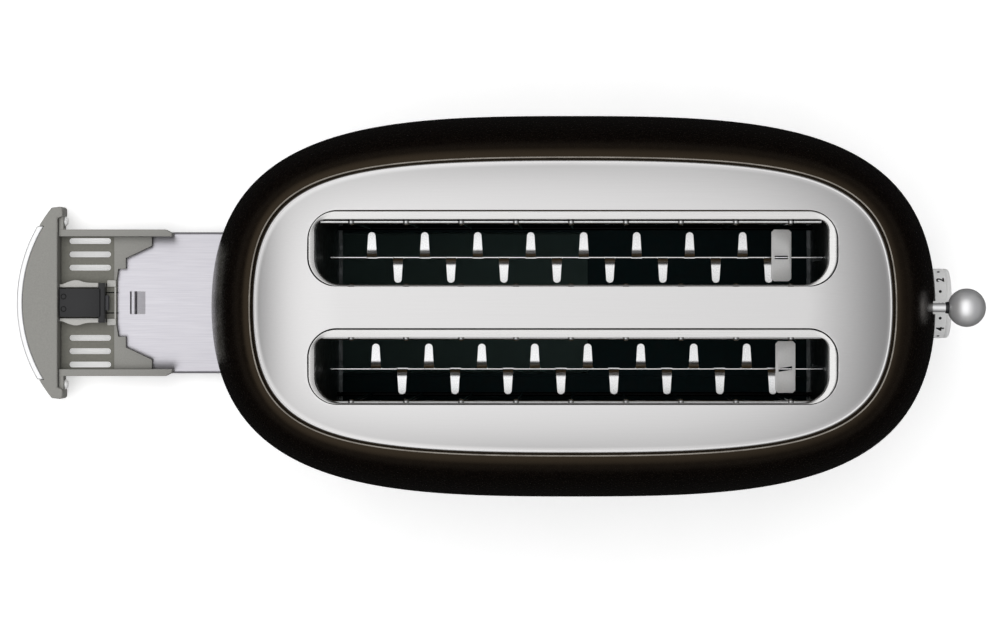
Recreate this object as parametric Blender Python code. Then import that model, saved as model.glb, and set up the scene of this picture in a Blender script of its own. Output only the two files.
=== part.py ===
"""Four-slice long-slot toaster with its crumb tray drawn out, as separate pieces in metres.

X runs from the tray end to the lever end, Y across the two slots, Z up.
Values are given about the middle of the body; one empty then moves the whole toaster
so that the middle of its outer box lies at the origin.
"""

import math

import bmesh
import bpy
from mathutils import Vector

# Shared clearances and drawing steps
fit_gap = 0.0003
slide_gap = 0.0005
cut_overrun = 0.003
quarter_steps = 12
corner_steps = 5
round_sides = 20
wire_sides = 6

# Body outline, seen from above
body_length = 0.394
body_width = 0.208
body_height = 0.198
waist_outline_shares = (0.52, 0.98)
foot_outline_shares = (0.60, 0.80)
rim_outline_shares = (0.78, 0.89)

# Body shell
shell_wall = 0.001
shell_bottom_z = 0.024
shell_waist_z = 0.095
shell_rim_z = 0.190
shell_foot_inset = 0.009
shell_rim_half_length = 0.1686
shell_rim_half_width = 0.078
shell_shoulder_share = 2.1
shell_lower_rings = 4
shell_upper_rings = 9
shell_groove_depth = 0.0065
shell_ledge_width = 0.007

# Top plate
plate_half_length = 0.1663
plate_half_width = 0.0761
plate_sheet = 0.0012
plate_rim_z = 0.191
plate_bead = 0.0012
plate_bead_edge = 0.0003
plate_crown_width = 0.045
plate_crown_share = 2.2
plate_crown_ring_shares = (0.08, 0.18, 0.32, 0.5, 0.72, 1.0)

# Bread slots and their liners
slot_length = 0.275
slot_width = 0.0398
slot_pitch = 0.0609
slot_corner_radius = 0.0155
liner_wall = 0.0008
liner_top_z = 0.1962
liner_lip_z = 0.1948
liner_bottom_z = 0.187
liner_band_north = 0.0042
liner_band_south = 0.0012
liner_band_rear = 0.0031
liner_band_front = 0.0041
liner_mouth_radius = 0.012

# Base: chrome ring, floor, posts, guide ribs, feet and cord bush
base_bottom_z = 0.006
base_floor = 0.002
base_ring_wall = 0.0015
base_ring_chamfer = 0.001
base_ring_chamfer_z = 0.0085
base_floor_margin = 0.0005
post_diameter = 0.008
post_x = 0.112
post_width_share = 0.70
rib_height = 0.006
rib_wall = 0.002
rib_front_x = 0.130
rib_rear_x = -0.150
foot_diameter = 0.016
foot_base_diameter = 0.014
foot_x = 0.130
foot_side_inset = 0.042
bush_bore = 0.0075
bush_neck = 0.0104
bush_flange = 0.014
bush_flange_height = 0.002
bush_x = -0.095
bush_width_share = 0.79

# Toasting mechanism: middle line, guards, lifters and heaters
mechanism_y = -0.00375
rail_pitch = 0.0603
rail_sheet = 0.0008
rail_height = 0.012
rail_top_z = 0.125
rail_rear_x = -0.1318
tab_pitch = 0.02865
tab_count = 8
tab_length = 0.0135
tab_root = 0.0054
tab_tip = 0.0040
tab_tip_steps = 4
tab_north_x = -0.1091
tab_south_x = -0.09495
tab_shift_south_rail = 0.0022
stop_length = 0.0108
stop_width = 0.028
stop_sheet = 0.001
stop_chamfer = 0.003
stop_front_x = 0.1176
stop_offset_y = 0.0011
guard_reach = 0.0171
guard_shift_y = 0.0008
guard_rod = 0.0024
guard_wire = 0.0018
guard_pivot_z = 0.038
guard_top_z = 0.184
guard_wire_count = 9
guard_wire_centre_x = -0.001
guard_rod_half_length = 0.1305
guard_pin_reach = 0.003
heater_sheet = 0.001
heater_reach = 0.0255
heater_bottom_z = 0.050
heater_top_z = 0.172
heater_joint_x = 0.0035

# Chassis: floor frame, bulkheads and side panels
frame_sheet = 0.0015
frame_bottom_z = 0.0243
frame_shell_gap = 0.002
frame_opening_x = 0.133
frame_opening_width_share = 0.60
bulkhead_face_x = 0.135
bulkhead_sheet = 0.001
bulkhead_top_z = 0.179
side_panel_reach = 0.062
rail_slot_width = 0.0024
rail_slot_bottom_z = 0.040
rail_slot_top_z = 0.128
top_flange_z = 0.1685
top_flange_reach = 0.026
top_flange_half_width = 0.034

# Carriage, lever, lift springs and holding magnet
carriage_travel = 0.070
carriage_sheet = 0.0015
carriage_x = 0.146
carriage_half_width = 0.037
carriage_bottom_z = 0.112
carriage_top_z = 0.156
guide_rod_diameter = 0.005
guide_rod_x = 0.153
guide_rod_y = 0.024
lug_depth = 0.011
lug_width = 0.012
lug_bottom_z = 0.116
lug_top_z = 0.134
lever_y = -0.0007
lever_z = 0.152
lever_diameter = 0.0048
lever_slot_width = 0.007
lever_slot_margin = 0.002
ball_diameter = 0.0205
ball_x = 0.2089
ball_socket_depth = 0.004
ball_rings = 10
keeper_width = 0.014
keeper_bottom_z = 0.115
keeper_height = 0.003
keeper_front_x = 0.166
magnet_rear_x = 0.156
magnet_front_x = 0.1668
magnet_width = 0.018
magnet_air_gap = 0.0006
spring_wire = 0.0010
spring_coil_diameter = 0.0076
spring_turns = 7
spring_points_per_turn = 8
spring_sides = 6

# Controls: board, browning knob with its control, four push buttons
board_rear_x = 0.174
board_sheet = 0.0016
board_half_width = 0.040
board_top_z = 0.075
knob_y = 0.0015
knob_z = 0.046
knob_diameter = 0.0397
knob_rear_x = 0.1968
knob_front_x = 0.2130
knob_round = 0.0018
knob_rear_edge = 0.00045
knob_dome = 0.0013
knob_dome_shares = (0.6, 0.15)
knob_round_steps = 4
shaft_diameter = 0.006
shaft_front_x = 0.206
shell_shaft_hole = 0.0084
control_diameter = 0.018
control_depth = 0.006
button_diameter = 0.010
button_y = 0.033
button_rear_x = 0.1778
button_edge = 0.0005
button_upper_z = 0.056
button_lower_z = 0.038
button_upper_front_x = 0.1922
button_lower_front_x = 0.1896

# Crumb tray, drawn out as photographed
tray_drawn = 0.133
tray_y = 0.0018
fascia_apex_x = -0.3211
fascia_back_x = -0.2971
fascia_half_width = 0.0553
fascia_radius = 0.089
fascia_bottom_z = 0.0065
fascia_top_z = 0.0235
fascia_lobe_depth = 0.003
fascia_lobe_length = 0.0045
fascia_wall = 0.003
fascia_pocket_half_width = 0.043
fascia_steps = 16
trim_sheet = 0.0012
trim_half_width = 0.044
trim_margin_z = 0.0015
carrier_bottom_z = 0.0095
carrier_floor = 0.002
carrier_half_width = 0.0422
carrier_rail = 0.0040
carrier_rail_top_z = 0.020
carrier_rail_front_x = -0.2317
carrier_outer_step_x = -0.2441
carrier_inner_step_x = -0.2592
carrier_lip_x = -0.2636
carrier_throat_x = -0.2645
carrier_step_width_shares = (0.905, 0.780, 0.611, 0.464, 0.308)
carrier_raised_x = -0.2660
carrier_raised_z = 0.0130
ear_half_width = 0.0505
ear_sheet = 0.0026
vent_rear_x = -0.2923
vent_front_x = -0.2680
vent_width = 0.0033
vent_end_radius = 0.0016
vent_y_shares = (0.481, 0.678, 0.846)
sheet_half_width = 0.0406
sheet_rear_x = -0.2660
sheet_length = 0.2734
sheet_thickness = 0.0008
sheet_bottom_z = 0.0084
sheet_hole_rear_x = -0.2538
sheet_hole_length = 0.0053
sheet_hole_half_width = 0.0066
latch_half_width = 0.0081
latch_rear_x = -0.2963
latch_front_x = -0.2704
latch_flange = 0.0037
latch_flange_half_width = 0.0114
latch_top_z = 0.0213
latch_rib_wall = 0.0026
latch_rib_top_z = 0.018
tongue_half_width = 0.0043
tongue_tip_x = -0.2684
tongue_length = 0.0140
tongue_bottom_z = 0.0135
tongue_top_z = 0.0180
tongue_travel = 0.0025
screw_y = 0.047
screw_z = 0.0150
screw_head_diameter = 0.0056
screw_head_height = 0.0020
screw_shank_diameter = 0.0030
screw_shank_length = 0.0080
catch_sheet = 0.0013
catch_half_width = 0.0062
catch_bottom_z = 0.0122
catch_gap = 0.0005
catch_flange_reach = 0.006

# Places worked out from the sizes above
half_length = body_length / 2
half_width = body_width / 2
base_half_length = half_length - shell_foot_inset
base_half_width = half_width - shell_foot_inset
base_floor_top_z = base_bottom_z + base_floor
frame_top_z = frame_bottom_z + frame_sheet
standing_z = frame_top_z + fit_gap
panel_north_y = mechanism_y + side_panel_reach
panel_south_y = mechanism_y - side_panel_reach
rail_ys = {"north": mechanism_y + rail_pitch / 2, "south": mechanism_y - rail_pitch / 2}
bush_y = -base_half_width * bush_width_share
tray_notch_x = fascia_back_x + fascia_lobe_depth + tray_drawn + slide_gap
slot_ys = {"north": slot_pitch / 2 - fit_gap, "south": -slot_pitch / 2 - 2 * fit_gap}
rail_front_x = carriage_x - fit_gap
toaster_shift_x = -(fascia_apex_x + ball_x + ball_diameter / 2) / 2


def clear_scene():
    for old in list(bpy.data.objects):
        bpy.data.objects.remove(old, do_unlink=True)


def linear_channel(value):
    if value <= 0.04045:
        return value / 12.92
    return ((value + 0.055) / 1.055) ** 2.4


def finish(name, hex_colour, roughness, metallic):
    """One plain material with a Principled surface, made once for each name."""
    if name in bpy.data.materials:
        return bpy.data.materials[name]
    material = bpy.data.materials.new(name)
    material.use_nodes = True
    surface = material.node_tree.nodes["Principled BSDF"]
    channels = [int(hex_colour[start:start + 2], 16) / 255 for start in (0, 2, 4)]
    surface.inputs["Base Color"].default_value = [linear_channel(c) for c in channels] + [1]
    surface.inputs["Roughness"].default_value = roughness
    surface.inputs["Metallic"].default_value = metallic
    return material


def dark_coating():
    return finish("dark coated steel", "0C0A09", 0.35, 0.3)


def brushed_steel():
    return finish("brushed steel", "D9D8D9", 0.35, 1.0)


def bright_chrome():
    return finish("bright chrome", "E8E8EA", 0.12, 1.0)


def sheet_steel():
    return finish("plated sheet steel", "BCC0C0", 0.4, 1.0)


def wire_steel():
    return finish("drawn steel wire", "9FA3A5", 0.3, 1.0)


def mica():
    return finish("mica board", "6F6A58", 0.7, 0.0)


def black_plastic():
    return finish("black moulded plastic", "161616", 0.5, 0.0)


def dark_plastic():
    return finish("dark grey moulded plastic", "3A3A3C", 0.45, 0.0)


def grey_plastic():
    return finish("grey moulded plastic", "908F8C", 0.5, 0.0)


def rubber():
    return finish("black rubber", "1A1A1A", 0.85, 0.0)


def circuit_board():
    return finish("circuit board laminate", "2E5D3A", 0.5, 0.0)


def add_piece(name, shape, material, origin=(0, 0, 0)):
    """Make a named object from a bmesh drawn about the body's middle, with its own origin."""
    bmesh.ops.translate(shape, verts=shape.verts, vec=-Vector(origin))
    mesh = bpy.data.meshes.new(name)
    shape.to_mesh(mesh)
    shape.free()
    mesh.materials.append(material)
    piece = bpy.data.objects.new(name, mesh)
    piece.location = origin
    piece.parent = bpy.data.objects["toaster_origin"]
    bpy.context.scene.collection.objects.link(piece)
    return piece


def smooth(piece):
    piece.data.shade_smooth()
    piece.data.set_sharp_from_angle(angle=math.radians(35))


def thicken(piece, wall):
    """Give an open surface a wall on its inner side."""
    wall_modifier = piece.modifiers.new("wall", "SOLIDIFY")
    wall_modifier.thickness = wall
    wall_modifier.offset = -1
    wall_modifier.use_even_offset = True


def combine(piece, shape, operation):
    """Cut a shape from a piece, or join it on, with a hidden tool object."""
    step = len(piece.modifiers)
    tool = add_piece(f"{piece.name}_tool_{step}", shape, piece.data.materials[0])
    tool.hide_render = True
    tool.display_type = "WIRE"
    modifier = piece.modifiers.new(operation.lower(), "BOOLEAN")
    modifier.operation = operation
    modifier.solver = "EXACT"
    modifier.object = tool


def cut(piece, *shapes):
    combine(piece, gather(shapes), "DIFFERENCE")


def join(piece, *shapes):
    combine(piece, gather(shapes), "UNION")


def gather(shapes):
    """Put several separate shapes into one bmesh."""
    together = bmesh.new()
    for shape in shapes:
        mesh = bpy.data.meshes.new("gathered")
        shape.to_mesh(mesh)
        shape.free()
        together.from_mesh(mesh)
        bpy.data.meshes.remove(mesh)
    return together


def loft(rings, cap_first=True, cap_last=True, close_loop=False):
    """Join rings of equal point counts, each running anticlockwise seen from above."""
    shape = bmesh.new()
    rows = [[shape.verts.new(point) for point in ring] for ring in rings]
    pairs = list(zip(rows, rows[1:]))
    if close_loop:
        pairs.append((rows[-1], rows[0]))
    count = len(rows[0])
    for lower, upper in pairs:
        for index in range(count):
            after = (index + 1) % count
            shape.faces.new((lower[index], lower[after], upper[after], upper[index]))
    if cap_first:
        shape.faces.new(list(reversed(rows[0])))
    if cap_last:
        shape.faces.new(rows[-1])
    return shape


def face_out(shape):
    bmesh.ops.recalc_face_normals(shape, faces=shape.faces)
    return shape


def box(low, high):
    """A box between two corners."""
    outline = [(low[0], low[1]), (high[0], low[1]), (high[0], high[1]), (low[0], high[1])]
    return prism(outline, low[2], high[2])


def prism(outline, low, high, along="Z"):
    """Extrude an outline; along Z it is (x, y), along X it is (y, z), along Y it is (x, z)."""
    order = {"Z": lambda u, v, w: (u, v, w),
             "X": lambda u, v, w: (w, u, v),
             "Y": lambda u, v, w: (u, w, v)}[along]
    rings = [[order(u, v, level) for u, v in outline] for level in (low, high)]
    return face_out(loft(rings))


def turned(profile, centre, along="Z", sides=round_sides, close_loop=False):
    """Turn a profile of (distance, radius) pairs about an axis through the centre."""
    rings = []
    for distance, radius in profile:
        ring = []
        for side in range(sides):
            angle = 2 * math.pi * side / sides
            across = (radius * math.cos(angle), radius * math.sin(angle))
            if along == "Z":
                ring.append((centre[0] + across[0], centre[1] + across[1], distance))
            else:
                ring.append((distance, centre[1] + across[0], centre[2] + across[1]))
        rings.append(ring)
    return face_out(loft(rings, not close_loop, not close_loop, close_loop))


def rod(low, high, centre, diameter, along="Z", sides=round_sides):
    """A round bar between two levels along an axis."""
    radius = diameter / 2
    return turned([(low, radius), (high, radius)], centre, along, sides)


def mix(first, second, share):
    return first + (second - first) * share


def mix_shares(first, second, share):
    return tuple(mix(a, b, share) for a, b in zip(first, second))


def oval(half_long, half_wide, level, shares):
    """A ring whose quarter is one cubic curve from the end to the side of the oval."""
    quarter = []
    for step in range(quarter_steps + 1):
        t = step / quarter_steps
        s = 1 - t
        along = s ** 3 + 3 * s * s * t + 3 * s * t * t * shares[0]
        across = 3 * s * s * t * shares[1] + 3 * s * t * t + t ** 3
        quarter.append((half_long * along, half_wide * across))
    left = [(-x, y) for x, y in reversed(quarter[:-1])]
    upper = quarter + left
    lower = [(-x, -y) for x, y in upper[1:-1]]
    return [(x, y, level) for x, y in upper + lower]


def rounded_box(low, high, radius):
    """An outline with round corners between two corners, anticlockwise."""
    centres = [(high[0] - radius, high[1] - radius, 0), (low[0] + radius, high[1] - radius, 1),
               (low[0] + radius, low[1] + radius, 2), (high[0] - radius, low[1] + radius, 3)]
    points = []
    for x, y, quarter in centres:
        for step in range(corner_steps + 1):
            angle = (quarter + step / corner_steps) * math.pi / 2
            points.append((x + radius * math.cos(angle), y + radius * math.sin(angle)))
    return points


def at_level(outline, level):
    return [(x, y, level) for x, y in outline]


def arc_band(radius, half_chord, centre_x, steps):
    """Points on an arc that bulges towards -X, from its south end to its north end."""
    reach = math.asin(half_chord / radius)
    angles = [mix(-reach, reach, step / steps) for step in range(steps + 1)]
    return [(centre_x - radius * math.cos(a), tray_y + radius * math.sin(a)) for a in angles]


def button_places():
    """Name, Y, Z and front of each push button."""
    upper = (button_upper_z, button_upper_front_x)
    lower = (button_lower_z, button_lower_front_x)
    return [("stop", button_y, *upper), ("reheat", button_y, *lower),
            ("defrost", -button_y, *upper), ("bagel", -button_y, *lower)]


def make_body_shell():
    rings = []
    for step in range(shell_lower_rings):
        rise = step / shell_lower_rings
        inset = shell_foot_inset * (1 - rise) ** 2
        shares = mix_shares(foot_outline_shares, waist_outline_shares, rise)
        level = mix(shell_bottom_z, shell_waist_z, rise)
        rings.append(oval(half_length - inset, half_width - inset, level, shares))
    power = 2 / shell_shoulder_share
    for step in range(shell_upper_rings + 1):
        angle = math.pi / 2 * step / shell_upper_rings
        rise = math.sin(angle) ** power
        inward = 1 - max(math.cos(angle), 0) ** power
        shares = mix_shares(waist_outline_shares, rim_outline_shares, inward)
        rings.append(oval(mix(half_length, shell_rim_half_length, inward),
                          mix(half_width, shell_rim_half_width, inward),
                          mix(shell_waist_z, shell_rim_z, rise), shares))
    wall_long = shell_rim_half_length - fit_gap
    wall_wide = shell_rim_half_width - fit_gap
    for ledge in (0, shell_ledge_width):
        rings.append(oval(wall_long - ledge, wall_wide - ledge,
                          shell_rim_z - shell_groove_depth, rim_outline_shares))
    shell = add_piece("body_shell", loft(rings, False, False), dark_coating())
    thicken(shell, shell_wall)
    inside_x = board_rear_x + board_sheet + fit_gap
    outside_x = half_length + cut_overrun
    slot_half = lever_slot_width / 2
    lever_low = lever_z - lever_diameter / 2 - carriage_travel - lever_slot_margin
    lever_high = lever_z + lever_diameter / 2 + lever_slot_margin
    holes = [box((inside_x, lever_y - slot_half, lever_low), (outside_x, lever_y + slot_half, lever_high))]
    holes.append(rod(inside_x, outside_x, (0, knob_y, knob_z), shell_shaft_hole, "X"))
    for name, y, level, front in button_places():
        holes.append(rod(inside_x, outside_x, (0, y, level), button_diameter + 2 * fit_gap, "X"))
    cut(shell, *holes)
    smooth(shell)


def make_top_plate():
    rim_foot = shell_rim_z - shell_groove_depth + fit_gap
    bead_top = plate_rim_z + plate_bead_edge
    rings = [oval(plate_half_length, plate_half_width, rim_foot, rim_outline_shares),
             oval(plate_half_length, plate_half_width, plate_rim_z - plate_bead, rim_outline_shares)]
    for inset, level in ((plate_bead_edge, plate_rim_z), (plate_bead, bead_top)):
        rings.append(oval(plate_half_length - inset, plate_half_width - inset, level, rim_outline_shares))
    for share in plate_crown_ring_shares:
        inset = plate_bead + share * plate_crown_width
        rise = 1 - (1 - share) ** plate_crown_share
        rings.append(oval(plate_half_length - inset, plate_half_width - inset,
                          mix(bead_top, body_height, rise), rim_outline_shares))
    plate = add_piece("top_plate", loft(rings, False, True), brushed_steel())
    thicken(plate, plate_sheet)
    slots = []
    for centre_y in slot_ys.values():
        low, high = slot_corners(centre_y, 0)
        outline = rounded_box(low, high, slot_corner_radius)
        slots.append(prism(outline, liner_bottom_z, body_height + cut_overrun))
    cut(plate, *slots)
    smooth(plate)


def slot_corners(centre_y, inset):
    half_long = slot_length / 2 - inset
    half_wide = slot_width / 2 - inset
    return (-half_long, centre_y - half_wide), (half_long, centre_y + half_wide)


def make_slot_liners():
    """Each liner slopes in at its north side and ends, and drops straight down below."""
    for side, centre_y in slot_ys.items():
        low, high = slot_corners(centre_y, fit_gap)
        lip_low = (low[0] + liner_band_rear, low[1] + liner_band_south)
        lip_high = (high[0] - liner_band_front, high[1] - liner_band_north)
        outer = rounded_box(low, high, slot_corner_radius - fit_gap)
        edge = liner_wall / 2
        edge_line = rounded_box((low[0] + edge, low[1] + edge), (high[0] - edge, high[1] - edge),
                                slot_corner_radius - fit_gap - edge)
        lip = rounded_box(lip_low, lip_high, liner_mouth_radius)
        back = rounded_box((lip_low[0] - liner_wall, lip_low[1] - liner_wall),
                           (lip_high[0] + liner_wall, lip_high[1] + liner_wall),
                           liner_mouth_radius + liner_wall)
        rings = [at_level(outer, liner_top_z), at_level(edge_line, liner_top_z),
                 at_level(lip, liner_lip_z), at_level(lip, liner_bottom_z),
                 at_level(back, liner_bottom_z), at_level(back, liner_lip_z - edge)]
        liner = add_piece(f"slot_liner_{side}", face_out(loft(rings, False, False, True)), brushed_steel())
        smooth(liner)


def make_base_ring():
    shares = foot_outline_shares
    rings = [oval(base_half_length - base_ring_chamfer, base_half_width - base_ring_chamfer,
                  base_bottom_z, shares),
             oval(base_half_length, base_half_width, base_ring_chamfer_z, shares),
             oval(base_half_length, base_half_width, shell_bottom_z - fit_gap, shares)]
    ring = add_piece("base_ring", loft(rings, False, False), bright_chrome())
    thicken(ring, base_ring_wall)
    notch_half = fascia_half_width + slide_gap
    cut(ring, box((-half_length, tray_y - notch_half, -cut_overrun),
                  (tray_notch_x, tray_y + notch_half, shell_bottom_z + cut_overrun)))
    smooth(ring)


def make_base_cover():
    inset = base_ring_chamfer + base_ring_wall + base_floor_margin
    outline = oval(base_half_length - inset, base_half_width - inset, 0, foot_outline_shares)
    floor = prism([(x, y) for x, y, level in outline], base_bottom_z, base_floor_top_z)
    cover = add_piece("base_cover", floor, black_plastic())
    inside_z = base_bottom_z + base_floor / 2
    post_y = base_half_width * post_width_share
    posts = [rod(inside_z, frame_bottom_z - fit_gap, (x, y, 0), post_diameter)
             for x in (-post_x, post_x) for y in (-post_y, post_y)]
    ribs = []
    rib_inner = carrier_half_width + slide_gap
    for side_share in (-1, 1):
        ys = sorted((tray_y + side_share * rib_inner, tray_y + side_share * (rib_inner + rib_wall)))
        ribs.append(box((rib_rear_x, ys[0], inside_z), (rib_front_x, ys[1], base_floor_top_z + rib_height)))
    join(cover, *posts, *ribs)
    notch_half = fascia_half_width + slide_gap
    notch = box((-half_length, tray_y - notch_half, -cut_overrun),
                (tray_notch_x, tray_y + notch_half, inside_z + cut_overrun))
    bush_hole = rod(-cut_overrun, base_floor_top_z + cut_overrun, (bush_x, bush_y, 0),
                    bush_neck + 2 * fit_gap)
    cut(cover, notch, bush_hole)


def make_feet():
    foot_y = half_width - foot_side_inset
    for end, x in (("rear", -foot_x), ("front", foot_x)):
        for side, y in (("north", foot_y), ("south", -foot_y)):
            profile = [(0, foot_base_diameter / 2), (base_bottom_z / 3, foot_diameter / 2),
                       (base_bottom_z - fit_gap, foot_diameter / 2)]
            smooth(add_piece(f"foot_{end}_{side}", turned(profile, (x, y, 0)), rubber()))


def make_cord_bush():
    flange = bush_flange / 2
    neck = bush_neck / 2
    bore = bush_bore / 2
    under = base_bottom_z - fit_gap
    over = base_floor_top_z + fit_gap
    profile = [(under - bush_flange_height, flange), (under, flange), (under, neck), (over, neck),
               (over, flange), (over + bush_flange_height, flange),
               (over + bush_flange_height, bore), (under - bush_flange_height, bore)]
    bush = turned(profile, (bush_x, bush_y, 0), close_loop=True)
    smooth(add_piece("cord_bush", bush, rubber()))


def make_chassis_frame():
    inset = shell_wall + frame_shell_gap
    outline = oval(base_half_length - inset, base_half_width - inset, 0, foot_outline_shares)
    plate = prism([(x, y) for x, y, level in outline], frame_bottom_z, frame_top_z)
    frame = add_piece("chassis_frame", plate, sheet_steel())
    opening_y = base_half_width * frame_opening_width_share
    cut(frame, box((-frame_opening_x, -opening_y, frame_bottom_z - cut_overrun),
                   (frame_opening_x, opening_y, frame_top_z + cut_overrun)))


def guard_lines():
    """Y of each bread guard, by its name."""
    lines = {}
    for side, rail_y in rail_ys.items():
        middle = rail_y + guard_shift_y
        lines[f"guard_{side}_slot_north"] = middle + guard_reach
        lines[f"guard_{side}_slot_south"] = middle - guard_reach
    return lines


def make_bulkheads():
    low_y = panel_south_y - bulkhead_sheet
    high_y = panel_north_y + bulkhead_sheet
    for name, side_share in (("rear_bulkhead", -1), ("front_bulkhead", 1)):
        xs = sorted((side_share * bulkhead_face_x, side_share * (bulkhead_face_x + bulkhead_sheet)))
        plate = box((xs[0], low_y, standing_z), (xs[1], high_y, bulkhead_top_z))
        bulkhead = add_piece(name, plate, sheet_steel())
        if side_share > 0:
            inside = xs[0] + bulkhead_sheet / 2
            join(bulkhead, box((inside, -top_flange_half_width, top_flange_z),
                               (xs[1] + top_flange_reach, top_flange_half_width,
                                top_flange_z + bulkhead_sheet)))
        holes = [rod(xs[0] - cut_overrun, xs[1] + cut_overrun, (0, y, guard_pivot_z),
                     guard_rod + 2 * fit_gap, "X", wire_sides) for y in guard_lines().values()]
        if side_share > 0:
            for rail_y in rail_ys.values():
                holes.append(box((xs[0] - cut_overrun, rail_y - rail_slot_width / 2, rail_slot_bottom_z),
                                 (xs[1] + cut_overrun, rail_y + rail_slot_width / 2, rail_slot_top_z)))
        cut(bulkhead, *holes)


def make_side_panels():
    end_x = bulkhead_face_x - fit_gap
    half = bulkhead_sheet / 2
    for side, y in (("north", panel_north_y), ("south", panel_south_y)):
        panel = box((-end_x, y - half, standing_z), (end_x, y + half, bulkhead_top_z))
        add_piece(f"side_panel_{side}", panel, sheet_steel())


def make_heaters():
    end_x = bulkhead_face_x - fit_gap
    half = heater_sheet / 2
    planes = {"north": rail_ys["north"] + heater_reach, "middle": mechanism_y,
              "south": rail_ys["south"] - heater_reach}
    halves = {"rear": (-end_x, heater_joint_x - fit_gap), "front": (heater_joint_x + fit_gap, end_x)}
    for plane, y in planes.items():
        for end, xs in halves.items():
            board = box((xs[0], y - half, heater_bottom_z), (xs[1], y + half, heater_top_z))
            add_piece(f"heater_{plane}_{end}", board, mica())


def make_guards():
    """Wire grids that swing about their bottom rods and lean on the bread."""
    for name, y in guard_lines().items():
        reach = bulkhead_face_x + bulkhead_sheet + guard_pin_reach
        pivot = rod(-reach, reach, (0, y, guard_pivot_z), guard_rod, "X", wire_sides)
        guard = add_piece(name, pivot, wire_steel(), origin=(0, y, guard_pivot_z))
        wires = []
        for index in range(guard_wire_count):
            x = guard_wire_centre_x + (index - (guard_wire_count - 1) / 2) * tab_pitch
            wires.append(rod(guard_pivot_z, guard_top_z, (x, y, 0), guard_wire, sides=wire_sides))
        join(guard, *wires)
        low_x = guard_wire_centre_x - guard_rod_half_length
        high_x = guard_wire_centre_x + guard_rod_half_length
        join(guard, rod(low_x, high_x, (0, y, guard_top_z), guard_rod, "X", wire_sides))


def tab_shape(x, rail_y, side_share):
    """One tapered tab with a round tip, lying level with the top of its rail."""
    root = tab_root / 2
    tip = tab_tip / 2
    straight = tab_length - tip
    points = [(-root, 0), (root, 0)]
    for step in range(tab_tip_steps + 1):
        angle = math.pi * step / tab_tip_steps
        points.append((tip * math.cos(angle), straight + tip * math.sin(angle)))
    outline = [(x + u, rail_y + side_share * v) for u, v in points]
    return prism(outline, rail_top_z - rail_sheet, rail_top_z)


def make_lifter_rails():
    half = rail_sheet / 2
    for side, rail_y in rail_ys.items():
        shift = tab_shift_south_rail if side == "south" else 0
        web = box((rail_rear_x, rail_y - half, rail_top_z - rail_height),
                  (rail_front_x, rail_y + half, rail_top_z - rail_sheet / 2))
        rail = add_piece(f"lifter_rail_{side}", web, wire_steel())
        tabs = []
        for index in range(tab_count):
            tabs.append(tab_shape(tab_north_x + shift + index * tab_pitch, rail_y, 1))
            tabs.append(tab_shape(tab_south_x + shift + index * tab_pitch, rail_y, -1))
        join(rail, *tabs)


def make_bread_stops():
    for side, rail_y in rail_ys.items():
        shift = tab_shift_south_rail if side == "south" else 0
        front = stop_front_x + shift
        rear = front - stop_length
        middle = rail_y + stop_offset_y
        half = stop_width / 2
        chamfer = stop_chamfer
        outline = [(rear + chamfer, middle - half), (front - chamfer, middle - half),
                   (front, middle - half + chamfer), (front, middle + half - chamfer),
                   (front - chamfer, middle + half), (rear + chamfer, middle + half),
                   (rear, middle + half - chamfer), (rear, middle - half + chamfer)]
        bottom = rail_top_z + fit_gap
        add_piece(f"bread_stop_{side}", prism(outline, bottom, bottom + stop_sheet), wire_steel())


def make_carriage():
    face = carriage_x + carriage_sheet
    plate = box((carriage_x, -carriage_half_width, carriage_bottom_z),
                (face, carriage_half_width, carriage_top_z))
    carriage = add_piece("carriage_plate", plate, sheet_steel())
    lugs = []
    bores = []
    for y in (-guide_rod_y, guide_rod_y):
        lugs.append(box((face - carriage_sheet / 2, y - lug_width / 2, lug_bottom_z),
                        (face + lug_depth, y + lug_width / 2, lug_top_z)))
        bores.append(rod(lug_bottom_z - cut_overrun, lug_top_z + cut_overrun, (guide_rod_x, y, 0),
                         guide_rod_diameter + 2 * fit_gap))
    join(carriage, *lugs)
    cut(carriage, *bores)


def make_guide_rods():
    for side, y in (("north", guide_rod_y), ("south", -guide_rod_y)):
        guide = rod(standing_z, top_flange_z - fit_gap, (guide_rod_x, y, 0), guide_rod_diameter)
        smooth(add_piece(f"guide_rod_{side}", guide, wire_steel()))


def make_lift_springs():
    """Open coils round the guide rods, between the carriage and the flange above it."""
    low = lug_top_z + fit_gap + spring_wire / 2
    high = top_flange_z - fit_gap - spring_wire / 2
    radius = spring_coil_diameter / 2
    count = spring_turns * spring_points_per_turn
    for side, y in (("north", guide_rod_y), ("south", -guide_rod_y)):
        curve = bpy.data.curves.new(f"lift_spring_{side}", "CURVE")
        curve.dimensions = "3D"
        curve.bevel_depth = spring_wire / 2
        curve.bevel_resolution = (spring_sides - 4) // 2
        curve.use_fill_caps = True
        curve.resolution_u = 1
        curve.render_resolution_u = 0
        spline = curve.splines.new("POLY")
        spline.points.add(count)
        for index, point in enumerate(spline.points):
            angle = 2 * math.pi * index / spring_points_per_turn
            point.co = (radius * math.cos(angle), radius * math.sin(angle),
                        mix(low, high, index / count) - high, 1)
        curve.materials.append(wire_steel())
        spring = bpy.data.objects.new(f"lift_spring_{side}", curve)
        spring.location = (guide_rod_x, y, high)
        spring.parent = bpy.data.objects["toaster_origin"]
        bpy.context.scene.collection.objects.link(spring)


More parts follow.
